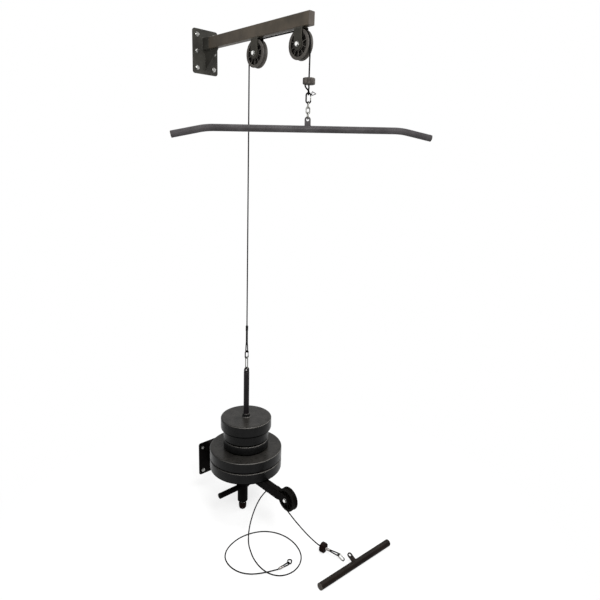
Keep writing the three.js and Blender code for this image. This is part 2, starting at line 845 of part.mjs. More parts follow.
function carabiner(parent, bodyName, gateName, centreZ, finish) {
  const group = groupAt(parent, [0, 0, centreZ]);
  place(group, bodyName, carabinerBody(), finish);
  const side = CARABINER.width / 2 - CARABINER.wire;
  const pivot = [side, 0, -CARABINER.gateBottom + CARABINER.gateRadius];
  place(group, gateName, carabinerGate(), 'zinc', pivot);
  return group;
}

// Height of a link's lowest wire centre in a hole that it carries, above the hole's centre.
function linkSeat(holeRadius, sheet) {
  const bend = LINK.width / 2 - LINK.wire;
  const sag = bend - Math.sqrt(bend * bend - sheet * sheet / 4);
  return holeRadius - FIT.linkInHole - LINK.wire - sag;
}

// Upper wall plate, arm, cap and bolts.
const allRows = [PLATE.boltRow, 0, -PLATE.boltRow];
const endRows = [PLATE.boltRow, -PLATE.boltRow];
const columns = [-PLATE.boltSide, PLATE.boltSide];
place(assembly, 'upper_wall_plate', wallPlate(columns, allRows, ARM.upperRise), 'blackPaint');
place(assembly, 'upper_arm', armTube(ARM.upperEnd), 'brownPaint', [0, 0, ARM.upperRise]);
place(assembly, 'upper_arm_cap', armCap(), 'plastic', [0, -ARM.upperEnd, ARM.upperRise]);
let boltNumber = 0;
for (const z of allRows) {
  for (const x of columns) {
    boltNumber += 1;
    place(assembly, `upper_wall_bolt_${boltNumber}`, wallBolt(), 'zinc', [x, 0, z]);
  }
}

// Lower wall plate, arm and bolts.
const lowerPlate = wallPlate(columns, endRows, ARM.lowerRise);
place(assembly, 'lower_wall_plate', lowerPlate, 'blackPaint', [0, 0, lowerPlateZ]);
place(assembly, 'lower_arm', armTube(ARM.lowerEnd), 'blackPaint', [0, 0, lowerArmZ]);
boltNumber = 0;
for (const z of endRows) {
  for (const x of columns) {
    boltNumber += 1;
    place(assembly, `lower_wall_bolt_${boltNumber}`, wallBolt(), 'zinc', [x, 0, lowerPlateZ + z]);
  }
}

// Three pulleys, each with its bracket, axle bolt, wheel and bearing.
function pulleySet(prefix, bracketAt, turn, finish) {
  const group = groupAt(assembly, bracketAt);
  group.rotation.x = turn;
  place(group, `${prefix}_pulley_bracket`, clevisBracket(), finish);
  const axle = [0, 0, -BRACKET.reach];
  place(group, `${prefix}_axle_bolt`, axleBolt(), 'zinc', axle);
  place(group, `${prefix}_pulley_wheel`, pulleyWheel(), 'nylon', axle);
  place(group, `${prefix}_pulley_bearing`, geometryOf(solidOf(pulleyBearing())), 'bearingSteel', axle);
}
pulleySet('rear', [0, -PULLEY.rearOut, armUnder - FIT.seat], 0, 'brownPaint');
pulleySet('front', [0, -PULLEY.frontOut, armUnder - FIT.seat], 0, 'brownPaint');
pulleySet('low', [0, -ARM.lowerEnd - FIT.seat, lowAxleZ], -Math.PI / 2, 'blackPaint');

// Upper cable over the two pulleys, and its two hanging runs.
const rearAxle = at(0, -PULLEY.rearOut, upperAxleZ);
const frontAxle = at(0, -PULLEY.frontOut, upperAxleZ);
const quarter = Math.PI / 2;
const topCable = tubeAlong([
  ...arcPoints(rearAxle, AXIS_Y, AXIS_Z, PULLEY.pitchRadius, 0, quarter, FACETS.wrap),
  ...arcPoints(frontAxle, AXIS_Y, AXIS_Z, PULLEY.pitchRadius, quarter, Math.PI, FACETS.wrap),
], CABLE.radius, FACETS.tube);
place(assembly, 'upper_cable_top', topCable, 'cable');

// Hanging rod with its base, eye, link, carabiner and cable eye.
const carriage = groupAt(assembly, [0, rearCableY, rodBaseZ]);
place(carriage, 'loading_rod', loadingRod(), 'rodPaint');
const linkLow = rodHoleZ - rodBaseZ + linkSeat(ROD.holeRadius, ROD.tongueThickness);
const linkMid = linkLow + LINK.length / 2 - LINK.wire;
place(carriage, 'rear_link', closedLink(), 'zinc', [0, 0, linkMid]);
const ringMid = linkMid + LINK.length / 2 - LINK.wire - linkContact + ringHalf;
carabiner(carriage, 'rear_carabiner', 'rear_gate', ringMid, 'blackPaint');
const rearEyeTop = ringMid + ringHalf - contact + EYE.rearLength - CABLE.radius;
place(carriage, 'rear_cable_eye', cableEye(EYE.rearLength - CABLE.radius), 'cable', [0, 0, rearEyeTop]);
const rearRunLow = rodBaseZ + rearEyeTop + FIT.seat;
const rearRun = roundBar(AXIS_Z, CABLE.radius, rearRunLow, upperAxleZ - FIT.seat, FACETS.tube);
place(assembly, 'upper_cable_rear', rearRun, 'cable', [0, rearCableY, 0]);

// Rubber pad and the stack of weight plates.
const pad = [0, rearCableY, armTopLow + FIT.seat];
place(assembly, 'stack_pad', stackPad(), 'rubber', pad);
let stackTop = ROD.baseThickness;
for (const weight of WEIGHTS) {
  stackTop += FIT.seat;
  place(carriage, weight.name, weightPlate(weight.radius, weight.thickness), 'weight', [0, 0, stackTop]);
  stackTop += weight.thickness;
}

// Front cable run, stopper, eye, carabiner, link and lat bar.
const frontRun = roundBar(
  AXIS_Z, CABLE.radius, stopperTopZ + FIT.seat, upperAxleZ - FIT.seat, FACETS.tube,
);
place(assembly, 'upper_cable_front', frontRun, 'cable', [0, frontCableY, 0]);
const latEnd = groupAt(assembly, [0, frontCableY, stopperTopZ]);
place(latEnd, 'lat_stopper', cableStopper(), 'rubber');
const latHanger = groupAt(latEnd, [0, 0, -STOPPER.height]);
latHanger.rotation.z = LAT_BAR.yaw;
const latBow = cableBow(EYE.bowHalf, EYE.latLength - CABLE.radius);
place(latHanger, 'lat_cable_eye', latBow, 'cable', [0, 0, -FIT.seat]);
const latRingMid = eyeBottom + contact - ringHalf;
carabiner(latHanger, 'lat_carabiner', 'lat_gate', latRingMid, 'blackPaint');
const latLinkMid = latRingMid - ringHalf + linkContact - LINK.length / 2 + LINK.wire;
place(latHanger, 'lat_link', closedLink(), 'zinc', [0, 0, latLinkMid]);
const latLinkLow = latLinkMid - LINK.length / 2 + LINK.wire;
const latHole = groupAt(latHanger, [0, 0, latLinkLow - linkSeat(TAB.holeRadius, TAB.thickness)]);
latHole.rotation.y = LAT_BAR.tilt;
place(latHole, 'lat_bar', latBar(), 'barPaint', [0, 0, -TAB.latHoleRise]);

// Leg, foot rest and levelling foot under the lower arm.
const legTop = lowerArmZ - ARM.height / 2 - FIT.seat;
place(assembly, 'foot_leg', footLeg(), 'blackPaint', [0, -LEG.out, legTop]);
place(assembly, 'foot_rest_bar', footRestBar(), 'blackPaint', [0, -LEG.out, legTop - FOOT_REST.drop]);
const legEnd = legTop - LEG.length;
const knobHeight = legEnd - FOOT.neck - floorZ;
place(assembly, 'levelling_foot', levellingFoot(knobHeight), 'rubber', [0, -LEG.out, legEnd]);

// Low cable: from the low pulley over the arm to the floor, and forwards to its stopper.
const vectors = (route) => route.map((point) => at(...point));
const lowAxle = at(0, -lowAxleOut, lowAxleZ);
const loopStart = at(0, -lowAxleOut + PULLEY.pitchRadius, lowAxleZ + FIT.seat);
const loopEnd = at(LOW_ENDS.eyeX, -LOW_ENDS.eyeOut, floorZ + lowEyeHeight);
const eyeAlong = direction(LOW_ENDS.eyeHeading, 0);
const loopLead = loopEnd.clone().addScaledVector(eyeAlong, -CABLE.radius * 3);
const loopCurve = new THREE.CatmullRomCurve3(
  [loopStart, ...vectors(LOW_LOOP_ROUTE), loopLead], false, 'centripetal',
);
const loopPoints = [...loopCurve.getSpacedPoints(LOOSE_STEPS.loop - 1), loopEnd];
place(assembly, 'low_cable_loop', tubeAlong(loopPoints, CABLE.radius, FACETS.tube), 'cable');

const heading = direction(LOW_ENDS.stopperHeading, 0);
const stopperAt = at(LOW_ENDS.stopperX, -LOW_ENDS.stopperOut, floorZ + STOPPER.radius);
const stopperEntry = stopperAt.clone().addScaledVector(heading, -STOPPER.height / 2 - FIT.seat);
const wrap = arcPoints(
  lowAxle, AXIS_Y, AXIS_Z, PULLEY.pitchRadius, 0, -LOW_ENDS.wrapAngle, FACETS.bend / 2,
);
const wrapEnd = wrap[wrap.length - 1];
const wrapAway = at(0, -Math.sin(LOW_ENDS.wrapAngle), -Math.cos(LOW_ENDS.wrapAngle));
const clearOfRim = wrapEnd.clone().addScaledVector(wrapAway, PULLEY.pitchRadius / 2);
const stopperLead = stopperEntry.clone().addScaledVector(heading, -CABLE.radius * 3);
const frontCurve = new THREE.CatmullRomCurve3(
  [clearOfRim, ...vectors(LOW_FRONT_ROUTE), stopperLead], false, 'centripetal',
);
const frontPoints = [...wrap, ...frontCurve.getSpacedPoints(LOOSE_STEPS.front), stopperEntry];
place(assembly, 'low_cable_front', tubeAlong(frontPoints, CABLE.radius, FACETS.tube), 'cable');

function direction(yaw, pitch) {
  return at(Math.cos(yaw) * Math.cos(pitch), Math.sin(yaw) * Math.cos(pitch), -Math.sin(pitch));
}

// A hanging set laid down so that its downward direction points along a heading.
function laidDown(parent, position, yaw, pitch) {
  const group = groupAt(parent, position);
  const along = direction(yaw, pitch);
  const side = at(0, 0, 0).crossVectors(AXIS_Z, along).normalize();
  const up = at(0, 0, 0).crossVectors(along, side);
  tool.makeBasis(up, side, along.clone().negate());
  group.quaternion.setFromRotationMatrix(tool);
  return group;
}

// Stopper, eye and carabiner at the front end of the low cable, resting on the floor.
const lowFrontTop = stopperAt.clone().addScaledVector(heading, -STOPPER.height / 2);
const lowFront = laidDown(assembly, lowFrontTop.toArray(), LOW_ENDS.stopperHeading, 0);
place(lowFront, 'low_stopper', cableStopper(), 'rubber');
const lowFrontEye = cableEye(EYE.hookLength - CABLE.radius);
place(lowFront, 'low_front_eye', lowFrontEye, 'cable', [0, 0, -STOPPER.height - FIT.seat]);
const hookReach = ringHalf * 2 - CARABINER.width / 2 + CARABINER.wire - contact;
const hookPitch = Math.asin((STOPPER.radius - CARABINER.width / 2 - FIT.seat) / hookReach);
const hookAt = stopperAt.clone()
  .addScaledVector(heading, STOPPER.height / 2 + FIT.seat + EYE.hookLength - CABLE.radius)
  .addScaledVector(direction(LOW_ENDS.stopperHeading, hookPitch), -contact);
const lowHook = laidDown(assembly, hookAt.toArray(), LOW_ENDS.stopperHeading, hookPitch);
carabiner(lowHook, 'low_hook', 'low_hook_gate', -ringHalf, 'zinc');

// Cable eye and carabiner at the loose end of the low cable.
const lowEyeAt = loopEnd.clone().addScaledVector(eyeAlong, FIT.seat);
const lowEyeGroup = laidDown(assembly, lowEyeAt.toArray(), LOW_ENDS.eyeHeading, 0);
lowEyeGroup.rotateZ(Math.PI / 2);
place(lowEyeGroup, 'low_cable_eye', cableEye(EYE.lowLength - CABLE.radius), 'cable');
const lowRingHeading = LOW_ENDS.eyeHeading + LOW_ENDS.carabinerTurn;
const lowRingPitch = Math.asin((lowEyeHeight - CARABINER.wire - FIT.seat) / (ringHalf * 2 - contact));
const lowRingAt = lowEyeAt.clone()
  .addScaledVector(eyeAlong, EYE.lowLength - CABLE.radius)
  .addScaledVector(direction(lowRingHeading, lowRingPitch), -contact - FIT.seat * 2);
const lowRing = laidDown(assembly, lowRingAt.toArray(), lowRingHeading, lowRingPitch);
lowRing.rotateZ(Math.PI / 2);
carabiner(lowRing, 'low_carabiner', 'low_gate', -ringHalf, 'blackPaint');

// Short bar on the floor, its tab towards the wall and raised.
const barSpot = groupAt(assembly, [SHORT_BAR.x, -SHORT_BAR.out, floorZ + SHORT_BAR.radius]);
barSpot.rotation.z = SHORT_BAR.yaw;
const shortBarMesh = place(barSpot, 'short_bar', shortBar(), 'floorBar');
shortBarMesh.rotation.x = SHORT_BAR.tabRaise - Math.PI / 2;

export default assembly;
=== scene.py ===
"""Wall pulley with a plate-loaded weight stack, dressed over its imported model.

Sizes are millimetres in each piece's own frame. A piece's mesh is put in its place in metres,
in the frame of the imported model: the wall is y = 0, the pulley reaches out along -Y, +Z is up.
"""

import sys
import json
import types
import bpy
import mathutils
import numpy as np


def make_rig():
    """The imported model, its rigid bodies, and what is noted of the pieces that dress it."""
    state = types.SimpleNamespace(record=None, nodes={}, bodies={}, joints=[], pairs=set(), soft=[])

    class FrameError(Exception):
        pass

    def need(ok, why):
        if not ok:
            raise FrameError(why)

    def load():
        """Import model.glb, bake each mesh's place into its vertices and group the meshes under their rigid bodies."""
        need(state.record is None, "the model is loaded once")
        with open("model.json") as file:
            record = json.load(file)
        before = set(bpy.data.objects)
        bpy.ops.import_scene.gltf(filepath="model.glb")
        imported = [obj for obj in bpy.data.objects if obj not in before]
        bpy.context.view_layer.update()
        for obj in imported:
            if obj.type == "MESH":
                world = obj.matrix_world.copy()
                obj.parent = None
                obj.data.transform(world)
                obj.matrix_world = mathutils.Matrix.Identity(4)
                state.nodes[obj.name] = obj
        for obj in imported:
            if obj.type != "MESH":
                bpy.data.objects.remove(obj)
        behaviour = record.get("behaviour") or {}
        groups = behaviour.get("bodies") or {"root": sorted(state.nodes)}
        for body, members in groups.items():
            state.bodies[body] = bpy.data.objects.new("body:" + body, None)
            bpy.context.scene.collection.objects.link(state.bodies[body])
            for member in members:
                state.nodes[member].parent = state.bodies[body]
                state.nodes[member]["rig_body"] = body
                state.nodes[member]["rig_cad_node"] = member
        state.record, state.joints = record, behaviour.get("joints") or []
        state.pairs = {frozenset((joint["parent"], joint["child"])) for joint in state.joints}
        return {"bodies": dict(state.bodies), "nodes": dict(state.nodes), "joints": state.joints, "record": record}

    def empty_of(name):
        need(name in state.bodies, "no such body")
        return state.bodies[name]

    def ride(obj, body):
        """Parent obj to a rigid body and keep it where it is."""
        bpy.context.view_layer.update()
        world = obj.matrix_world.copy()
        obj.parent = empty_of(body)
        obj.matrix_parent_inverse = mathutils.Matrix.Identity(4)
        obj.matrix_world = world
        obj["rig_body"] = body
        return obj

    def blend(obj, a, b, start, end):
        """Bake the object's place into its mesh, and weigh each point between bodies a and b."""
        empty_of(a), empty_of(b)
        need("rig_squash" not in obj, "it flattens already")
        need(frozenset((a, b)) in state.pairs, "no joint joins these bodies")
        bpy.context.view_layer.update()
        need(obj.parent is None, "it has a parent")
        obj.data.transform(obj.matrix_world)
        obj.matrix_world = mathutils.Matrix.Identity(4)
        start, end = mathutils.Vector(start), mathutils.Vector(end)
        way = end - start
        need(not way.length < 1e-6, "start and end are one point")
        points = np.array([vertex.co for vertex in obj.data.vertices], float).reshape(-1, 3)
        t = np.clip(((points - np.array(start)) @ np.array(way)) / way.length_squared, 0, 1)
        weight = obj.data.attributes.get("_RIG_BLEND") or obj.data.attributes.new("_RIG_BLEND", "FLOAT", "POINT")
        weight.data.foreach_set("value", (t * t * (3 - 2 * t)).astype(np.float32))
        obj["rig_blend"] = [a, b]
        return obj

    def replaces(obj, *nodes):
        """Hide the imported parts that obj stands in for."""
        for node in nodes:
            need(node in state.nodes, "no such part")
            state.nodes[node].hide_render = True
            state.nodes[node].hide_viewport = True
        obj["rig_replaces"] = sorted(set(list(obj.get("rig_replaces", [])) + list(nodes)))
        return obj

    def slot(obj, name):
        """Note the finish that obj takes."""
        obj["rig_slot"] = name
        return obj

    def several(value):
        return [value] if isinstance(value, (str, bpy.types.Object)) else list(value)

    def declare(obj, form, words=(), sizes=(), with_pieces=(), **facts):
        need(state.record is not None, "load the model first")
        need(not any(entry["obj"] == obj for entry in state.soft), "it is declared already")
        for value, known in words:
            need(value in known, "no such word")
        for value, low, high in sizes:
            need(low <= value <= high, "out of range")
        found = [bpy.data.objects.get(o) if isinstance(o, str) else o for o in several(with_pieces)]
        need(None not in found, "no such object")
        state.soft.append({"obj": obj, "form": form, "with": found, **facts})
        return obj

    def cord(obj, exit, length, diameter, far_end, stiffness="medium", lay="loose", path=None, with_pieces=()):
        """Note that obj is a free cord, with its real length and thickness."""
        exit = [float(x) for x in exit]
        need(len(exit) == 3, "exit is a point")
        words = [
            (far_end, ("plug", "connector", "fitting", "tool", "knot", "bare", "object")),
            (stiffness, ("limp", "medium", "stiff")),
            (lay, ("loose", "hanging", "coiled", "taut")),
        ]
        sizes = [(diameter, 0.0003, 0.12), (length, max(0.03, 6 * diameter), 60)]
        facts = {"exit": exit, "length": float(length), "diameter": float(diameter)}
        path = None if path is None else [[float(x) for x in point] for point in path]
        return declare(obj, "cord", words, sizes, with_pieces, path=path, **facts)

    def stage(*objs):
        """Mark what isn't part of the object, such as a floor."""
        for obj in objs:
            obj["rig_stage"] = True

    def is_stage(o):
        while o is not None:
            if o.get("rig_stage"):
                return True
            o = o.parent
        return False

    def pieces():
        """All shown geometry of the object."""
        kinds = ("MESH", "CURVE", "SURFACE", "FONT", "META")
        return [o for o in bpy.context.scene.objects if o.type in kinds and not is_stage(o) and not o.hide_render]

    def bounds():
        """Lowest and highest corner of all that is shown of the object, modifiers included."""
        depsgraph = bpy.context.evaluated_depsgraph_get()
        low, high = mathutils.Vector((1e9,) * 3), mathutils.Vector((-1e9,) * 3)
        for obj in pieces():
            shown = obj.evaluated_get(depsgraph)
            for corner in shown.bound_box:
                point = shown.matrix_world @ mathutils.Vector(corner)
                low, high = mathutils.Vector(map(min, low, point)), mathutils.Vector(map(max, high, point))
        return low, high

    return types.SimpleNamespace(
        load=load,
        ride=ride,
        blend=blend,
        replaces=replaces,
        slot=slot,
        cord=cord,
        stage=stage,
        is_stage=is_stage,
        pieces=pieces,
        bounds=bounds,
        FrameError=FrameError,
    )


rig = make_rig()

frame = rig.load()

import json
import logging
import math
from dataclasses import dataclass
from enum import Enum
from functools import partial
from typing import Callable, Iterable, Sequence

import bmesh
import bpy
from mathutils import Matrix, Vector

CAD_BOX = [list(corner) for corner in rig.bounds()]
LOG = logging.getLogger("wall_pulley")
MM = 0.001
TINY = 1e-6
SEAT = 0.3
Flat = tuple[float, float]
Point = tuple[float, float, float]
Node = bpy.types.Node
Add = Callable[..., Node]


def axes(x: Point, y: Point, z: Point, origin: Point = (0, 0, 0)) -> Matrix:
    """A frame from its three directions and its origin, in millimetres."""
    return Matrix.Translation(origin) @ Matrix((x, y, z)).transposed().to_4x4()


def standing(x: float, y: float, z: float) -> Matrix:
    """An upright frame at a point."""
    return Matrix.Translation((x, y, z))


def turned(degrees: float, axis: str) -> Matrix:
    """A turn about one axis."""
    return Matrix.Rotation(math.radians(degrees), 4, axis)


UPRIGHT = Matrix.Identity(4)
FACING_OUT = axes((1, 0, 0), (0, 0, 1), (0, -1, 0))
SIDEWAYS = axes((0, -1, 0), (0, 0, 1), (-1, 0, 0))
ALONG_X = turned(90, "Y")


# Nodes


def add_node(
    tree: bpy.types.NodeTree, kind: str, inputs: dict | None = None, **settings: object
) -> Node:
    """Add one node with its settings, values and links.

    Args:
        tree: The shader or geometry tree.
        kind: The node's type name.
        inputs: By name or number: values, sockets, or nodes whose first output is linked.
        **settings: Properties of the node.

    Returns:
        The node.
    """
    node = tree.nodes.new(kind)
    for key, value in settings.items():
        setattr(node, key, value)
    for key, value in (inputs or {}).items():
        if isinstance(value, Node):
            value = value.outputs[0]
        if isinstance(value, bpy.types.NodeSocket):
            tree.links.new(value, node.inputs[key])
        else:
            node.inputs[key].default_value = value
    return node


def linear(code: str) -> tuple[float, float, float, float]:
    """A hex colour in sRGB, turned linear.

    Args:
        code: Its six hex digits.

    Returns:
        The linear colour, opaque.
    """
    parts = [int(code[i : i + 2], 16) / 255 for i in (0, 2, 4)]
    flat = [p / 12.92 if p <= 0.04045 else ((p + 0.055) / 1.055) ** 2.4 for p in parts]
    return (flat[0], flat[1], flat[2], 1.0)


def per_metre(size: float) -> float:
    """How many features of a size in millimetres lie in a metre."""
    return 1.0 / (size * MM)


# Finishes


class Grain(Enum):
    """How the small relief of a surface runs."""

    PEEL = "orange peel of a baked coat"
    TURNED = "fine rings of turning or drawing"
    MOULDED = "eroded grain of a mould"
    LAID = "strands laid round a cable"


@dataclass(frozen=True)
class Finish:
    """A surface: two shades of one colour, its gloss, its small relief and its wear.

    Attributes:
        title: The material's name.
        slot: The record's material slot.
        shade: The darker shade, sRGB hex.
        tone: The lighter shade, sRGB hex.
        worn: What shows at rubbed edges, sRGB hex.
        roughness: Middle roughness.
        metallic: Share of bare metal.
        specular: Specular level.
        grain: How the relief runs.
        grain_mm: Size of the relief.
        relief: Strength of the relief.
        patch_mm: Size of the patches of shade.
        wear: How far the edges are rubbed.
        dust: What faces up is made lighter by this much. Dust settles there, and painted light from above falls there.
        streak_mm: Width of upright painted sheen streaks, 0 for none.
        rim: Strength of the painted highlight lines on the rounded rims; it also turns on painted shade under them.
        soil: How far painted shade darkens the recesses.
    """

    title: str
    slot: str
    shade: str
    tone: str
    worn: str
    roughness: float
    metallic: float = 0.0
    specular: float = 0.2
    grain: Grain = Grain.PEEL
    grain_mm: float = 2.5
    relief: float = 0.12
    patch_mm: float = 70.0
    wear: float = 0.5
    dust: float = 0.1
    streak_mm: float = 0.0
    rim: float = 0.0
    soil: float = 0.0

    def material(self) -> bpy.types.Material:
        """The material, made once.

        Returns:
            The material.
        """
        made = bpy.data.materials.get(self.title)
        if made:
            return made
        made = bpy.data.materials.new(self.title)
        made.use_nodes = True
        made.node_tree.nodes.clear()
        add = partial(add_node, made.node_tree)
        where = add("ShaderNodeTexCoord")
        spot = where.outputs["Object"]
        colour: object = linear(self.shade)
        for share, code in self._layers(add, spot):
            mixed = add(
                "ShaderNodeMix", {0: share, 6: colour, 7: linear(code)}, data_type="RGBA"
            )
            colour = mixed.outputs[2]
        smooth, rough = max(self.roughness - 0.06, 0.05), min(self.roughness + 0.08, 1.0)
        bump = add(
            "ShaderNodeBump",
            {
                "Strength": self.relief,
                "Distance": self.grain_mm * MM * 0.25,
                "Height": self._relief(add, where),
            },
        )
        shader = add(
            "ShaderNodeBsdfPrincipled",
            {
                "Base Color": colour,
                "Metallic": self.metallic,
                "Roughness": self._cloud(add, spot, 14.0, (0.3, 0.7), (smooth, rough)),
                "Specular IOR Level": self.specular,
                "Normal": bump,
            },
        )
        if self.rim:
            # Painted shade: the specular level is turned down where the surface faces down, so the undersides of the
            # rims stay dark.
            inputs = {**self._rise(add), 1: -0.24, 2: -0.03, 4: self.specular}
            lit = add("ShaderNodeMapRange", inputs)
            made.node_tree.links.new(lit.outputs[0], shader.inputs["Specular IOR Level"])
        add("ShaderNodeOutputMaterial", {"Surface": shader})
        return made

    def _cloud(self, add: Add, spot: object, size: float, ends: Flat, to: Flat = (0, 1)) -> Node:
        """Noise with features of a size, carried from its middle values to a range."""
        noise = add("ShaderNodeTexNoise", {"Vector": spot, "Scale": per_metre(size), "Detail": 3.0})
        return add("ShaderNodeMapRange", {0: noise, 1: ends[0], 2: ends[1], 3: to[0], 4: to[1]})

    def _rise(self, add: Add, normal: str = "Normal", axis: int = 2) -> dict:
        """How far the surface faces along an axis, as a node's first input."""
        here = add("ShaderNodeNewGeometry")
        return {0: add("ShaderNodeSeparateXYZ", {0: here.outputs[normal]}).outputs[axis]}

    def _layers(self, add: Add, spot: object) -> list[tuple[Node, str]]:
        """What lies on the darker shade, from the lowest layer up.

        Args:
            add: Adds a node to the material.
            spot: The place on the piece.

        Returns:
            The share that each layer covers, and its colour.
        """
        layers = [(self._patches(add, spot), self.tone), (self._edges(add, spot), self.worn)]
        if self.soil:
            # Painted shade: the colour goes dark where walls stand close round a spot.
            shut = add("ShaderNodeAmbientOcclusion", {"Distance": 16.0 * MM}, samples=6)
            inputs = {0: shut.outputs["AO"], 1: 0.92, 2: 0.5, 4: self.soil}
            layers.append((add("ShaderNodeMapRange", inputs), "080706"))
        if self.rim:
            # Painted highlight: a lighter line where the rounded rims turn half up, towards the front.
            layers.append((self._rims(add), self.worn))
            # Painted shade: near black where the surface faces down, under the rims.
            under = add("ShaderNodeMapRange", {**self._rise(add), 1: -0.03, 2: -0.24})
            layers.append((under, "010101"))
        # Dust, and painted light from above: what faces up turns lighter, in patches.
        level = add("ShaderNodeMapRange", {**self._rise(add, "True Normal"), 1: 0.7, 4: self.dust})
        patch = self._cloud(add, spot, 45.0, (0.1, 0.75))
        top_dust_and_light_share = add("ShaderNodeMath", {0: level, 1: patch}, operation="MULTIPLY")
        return [*layers, (top_dust_and_light_share, "8C8780")]

    def _patches(self, add: Add, spot: object) -> Node:
        """Soft patches of the lighter shade, and painted upright sheen streaks where the finish has them.

        Args:
            add: Adds a node to the material.
            spot: The place on the piece.

        Returns:
            Their share.
        """
        low, high = 0.35, 0.65
        inputs = {"Vector": spot, "Scale": per_metre(self.patch_mm), "Detail": 4.0}
        patches = add("ShaderNodeTexNoise", inputs)
        if self.streak_mm:
            # Painted sheen: upright streaks of the lighter shade.
            drawn = add("ShaderNodeMapping", {"Vector": spot, "Scale": (1.0, 1.0, 0.08)})
            inputs = {"Vector": drawn, "Scale": per_metre(self.streak_mm), "Detail": 2.0}
            streaks = add("ShaderNodeTexNoise", inputs)
            inputs = {0: streaks, 1: 0.6, 2: patches}
            patches = add("ShaderNodeMath", inputs, operation="MULTIPLY_ADD")
            low, high = low / 0.65, high / 0.65
        return add("ShaderNodeMapRange", {0: patches, 1: low, 2: high})

    def _edges(self, add: Add, spot: object) -> Node:
        """Where the edges are rubbed: the turn of the normal near them, broken up by noise.

        Args:
            add: Adds a node to the material.
            spot: The place on the piece.

        Returns:
            The rubbed share.
        """
        softened = add("ShaderNodeBevel", {"Radius": 1.6 * MM}, samples=4)
        here = add("ShaderNodeNewGeometry")
        inputs = {0: softened, 1: here.outputs["Normal"]}
        turn = add("ShaderNodeVectorMath", inputs, operation="DOT_PRODUCT").outputs["Value"]
        edge = add("ShaderNodeMapRange", {0: turn, 1: 0.985, 2: 0.86, 4: self.wear})
        broken = self._cloud(add, spot, 5.0, (0.38, 0.66))
        return add("ShaderNodeMath", {0: edge, 1: broken}, operation="MULTIPLY")

    def _rims(self, add: Add) -> Node:
        """Painted highlight: where a rounded rim turns half up, on the side away from the wall.

        Args:
            add: Adds a node to the material.

        Returns:
            The share of the painted highlight.
        """
        off = add("ShaderNodeMath", {**self._rise(add), 1: 0.6}, operation="SUBTRACT")
        off = add("ShaderNodeMath", {0: off}, operation="ABSOLUTE")
        line = add("ShaderNodeMapRange", {0: off, 1: 0.28, 2: 0.06, 4: self.rim})
        front = add("ShaderNodeMapRange", {**self._rise(add, axis=1), 1: 0.1, 2: -0.75})
        return add("ShaderNodeMath", {0: line, 1: front}, operation="MULTIPLY")

    def _relief(self, add: Add, where: Node) -> object:
        """The height of the small relief, by the kind of grain.

        Args:
            add: Adds a node to the material.
            where: The texture coordinates.

        Returns:
            The node or socket that gives the height.
        """
        spot, scale = where.outputs["Object"], per_metre(self.grain_mm)
        if self.grain is Grain.LAID:
            lay = {"Vector": where.outputs["UV"], "Rotation": (0.0, 0.0, math.radians(35))}
            along = add("ShaderNodeMapping", lay)
            return add("ShaderNodeTexWave", {"Vector": along, "Scale": 0.35 * scale}).outputs["Fac"]
        if self.grain is Grain.MOULDED:
            return add("ShaderNodeTexVoronoi", {"Vector": spot, "Scale": scale})
        inputs = {"Vector": spot, "Scale": scale, "Detail": 2.0}
        if self.grain is Grain.TURNED:
            rings = add("ShaderNodeMapping", {"Vector": spot, "Scale": (0.15, 1.0, 1.0)})
            inputs.update({"Vector": rings, "Detail": 3.0})
        return add("ShaderNodeTexNoise", inputs)


DRAWN = {"grain": Grain.TURNED, "grain_mm": 3.0}
BARE_METAL = {"metallic": 1.0, "specular": 0.5, "grain": Grain.TURNED, "dust": 0.0}

# Black powder coat on steel plate and tube: soft satin, slightly uneven, grey where it is rubbed. Its shades are set
# near black, as painted shade of the low parts under the stack.
BLACK_COAT = Finish(
    "black_powder_coat_on_steel", "black_paint", "050404", "0B0909", "3E3A38", 0.5,
    specular=0.015, wear=0.25, dust=0.02,
)
# The black powder coat again, on the upper wall plate: the same satin, set a shade greyer as painted light, for the
# plate that stands where more light falls.
BLACK_COAT_PAINTED_LIGHTER = Finish(
    "charcoal_powder_coat_on_steel", "black_paint", "262522", "33322E", "6B6863", 0.5,
    specular=0.1, wear=0.35,
)
# The arm's coat on the pulley brackets under the upper arm, set olive-grey and darker than on the arm as painted
# shade, dull.
ARM_COAT_PAINTED_DARKER = Finish(
    "olive_grey_coat_on_steel_strap", "arm_paint", "292824", "35332E", "6B6860", 0.5,
    specular=0.08, wear=0.35,
)
# Brown-grey metallic coat on the upper arm: warm, half dull.
BROWN_COAT = Finish(
    "brown_metallic_coat_on_steel", "arm_paint", "38332C", "4A433A", "878074", 0.44,
    metallic=0.1, specular=0.15, patch_mm=110.0,
)
# Grey satin coat on the drawn tube of the lat bar: smooth, with a long soft highlight.
GREY_COAT = Finish(
    "grey_satin_coat_on_tube", "bar_paint", "302E2F", "3D3B3C", "676463", 0.34,
    **DRAWN, specular=0.05, relief=0.02, wear=0.1, dust=0.0,
)
# Dark burnished coat on the loading rod: purplish black, scuffed by plates.
ROD_COAT = Finish(
    "burnished_coat_on_rod", "rod_paint", "0C0A0B", "161315", "5A5452", 0.36,
    **DRAWN, specular=0.12, relief=0.08, wear=0.35,
)
# Warm black coat on the short floor bar: duller than the lat bar.
FLOOR_BAR_COAT = Finish(
    "warm_black_coat_on_bar", "short_bar_paint", "0C0705", "16100C", "4A3F37", 0.46,
    **DRAWN, specular=0.06, relief=0.05, wear=0.3, dust=0.03,
)
# Zinc plating on bolts: bright, faintly clouded.
ZINC = Finish(
    "bright_zinc_plating", "zinc_steel", "7C7C7A", "ABABA8", "E4E4E0", 0.24,
    **BARE_METAL, grain_mm=1.2, relief=0.1, patch_mm=8.0, wear=0.3,
)
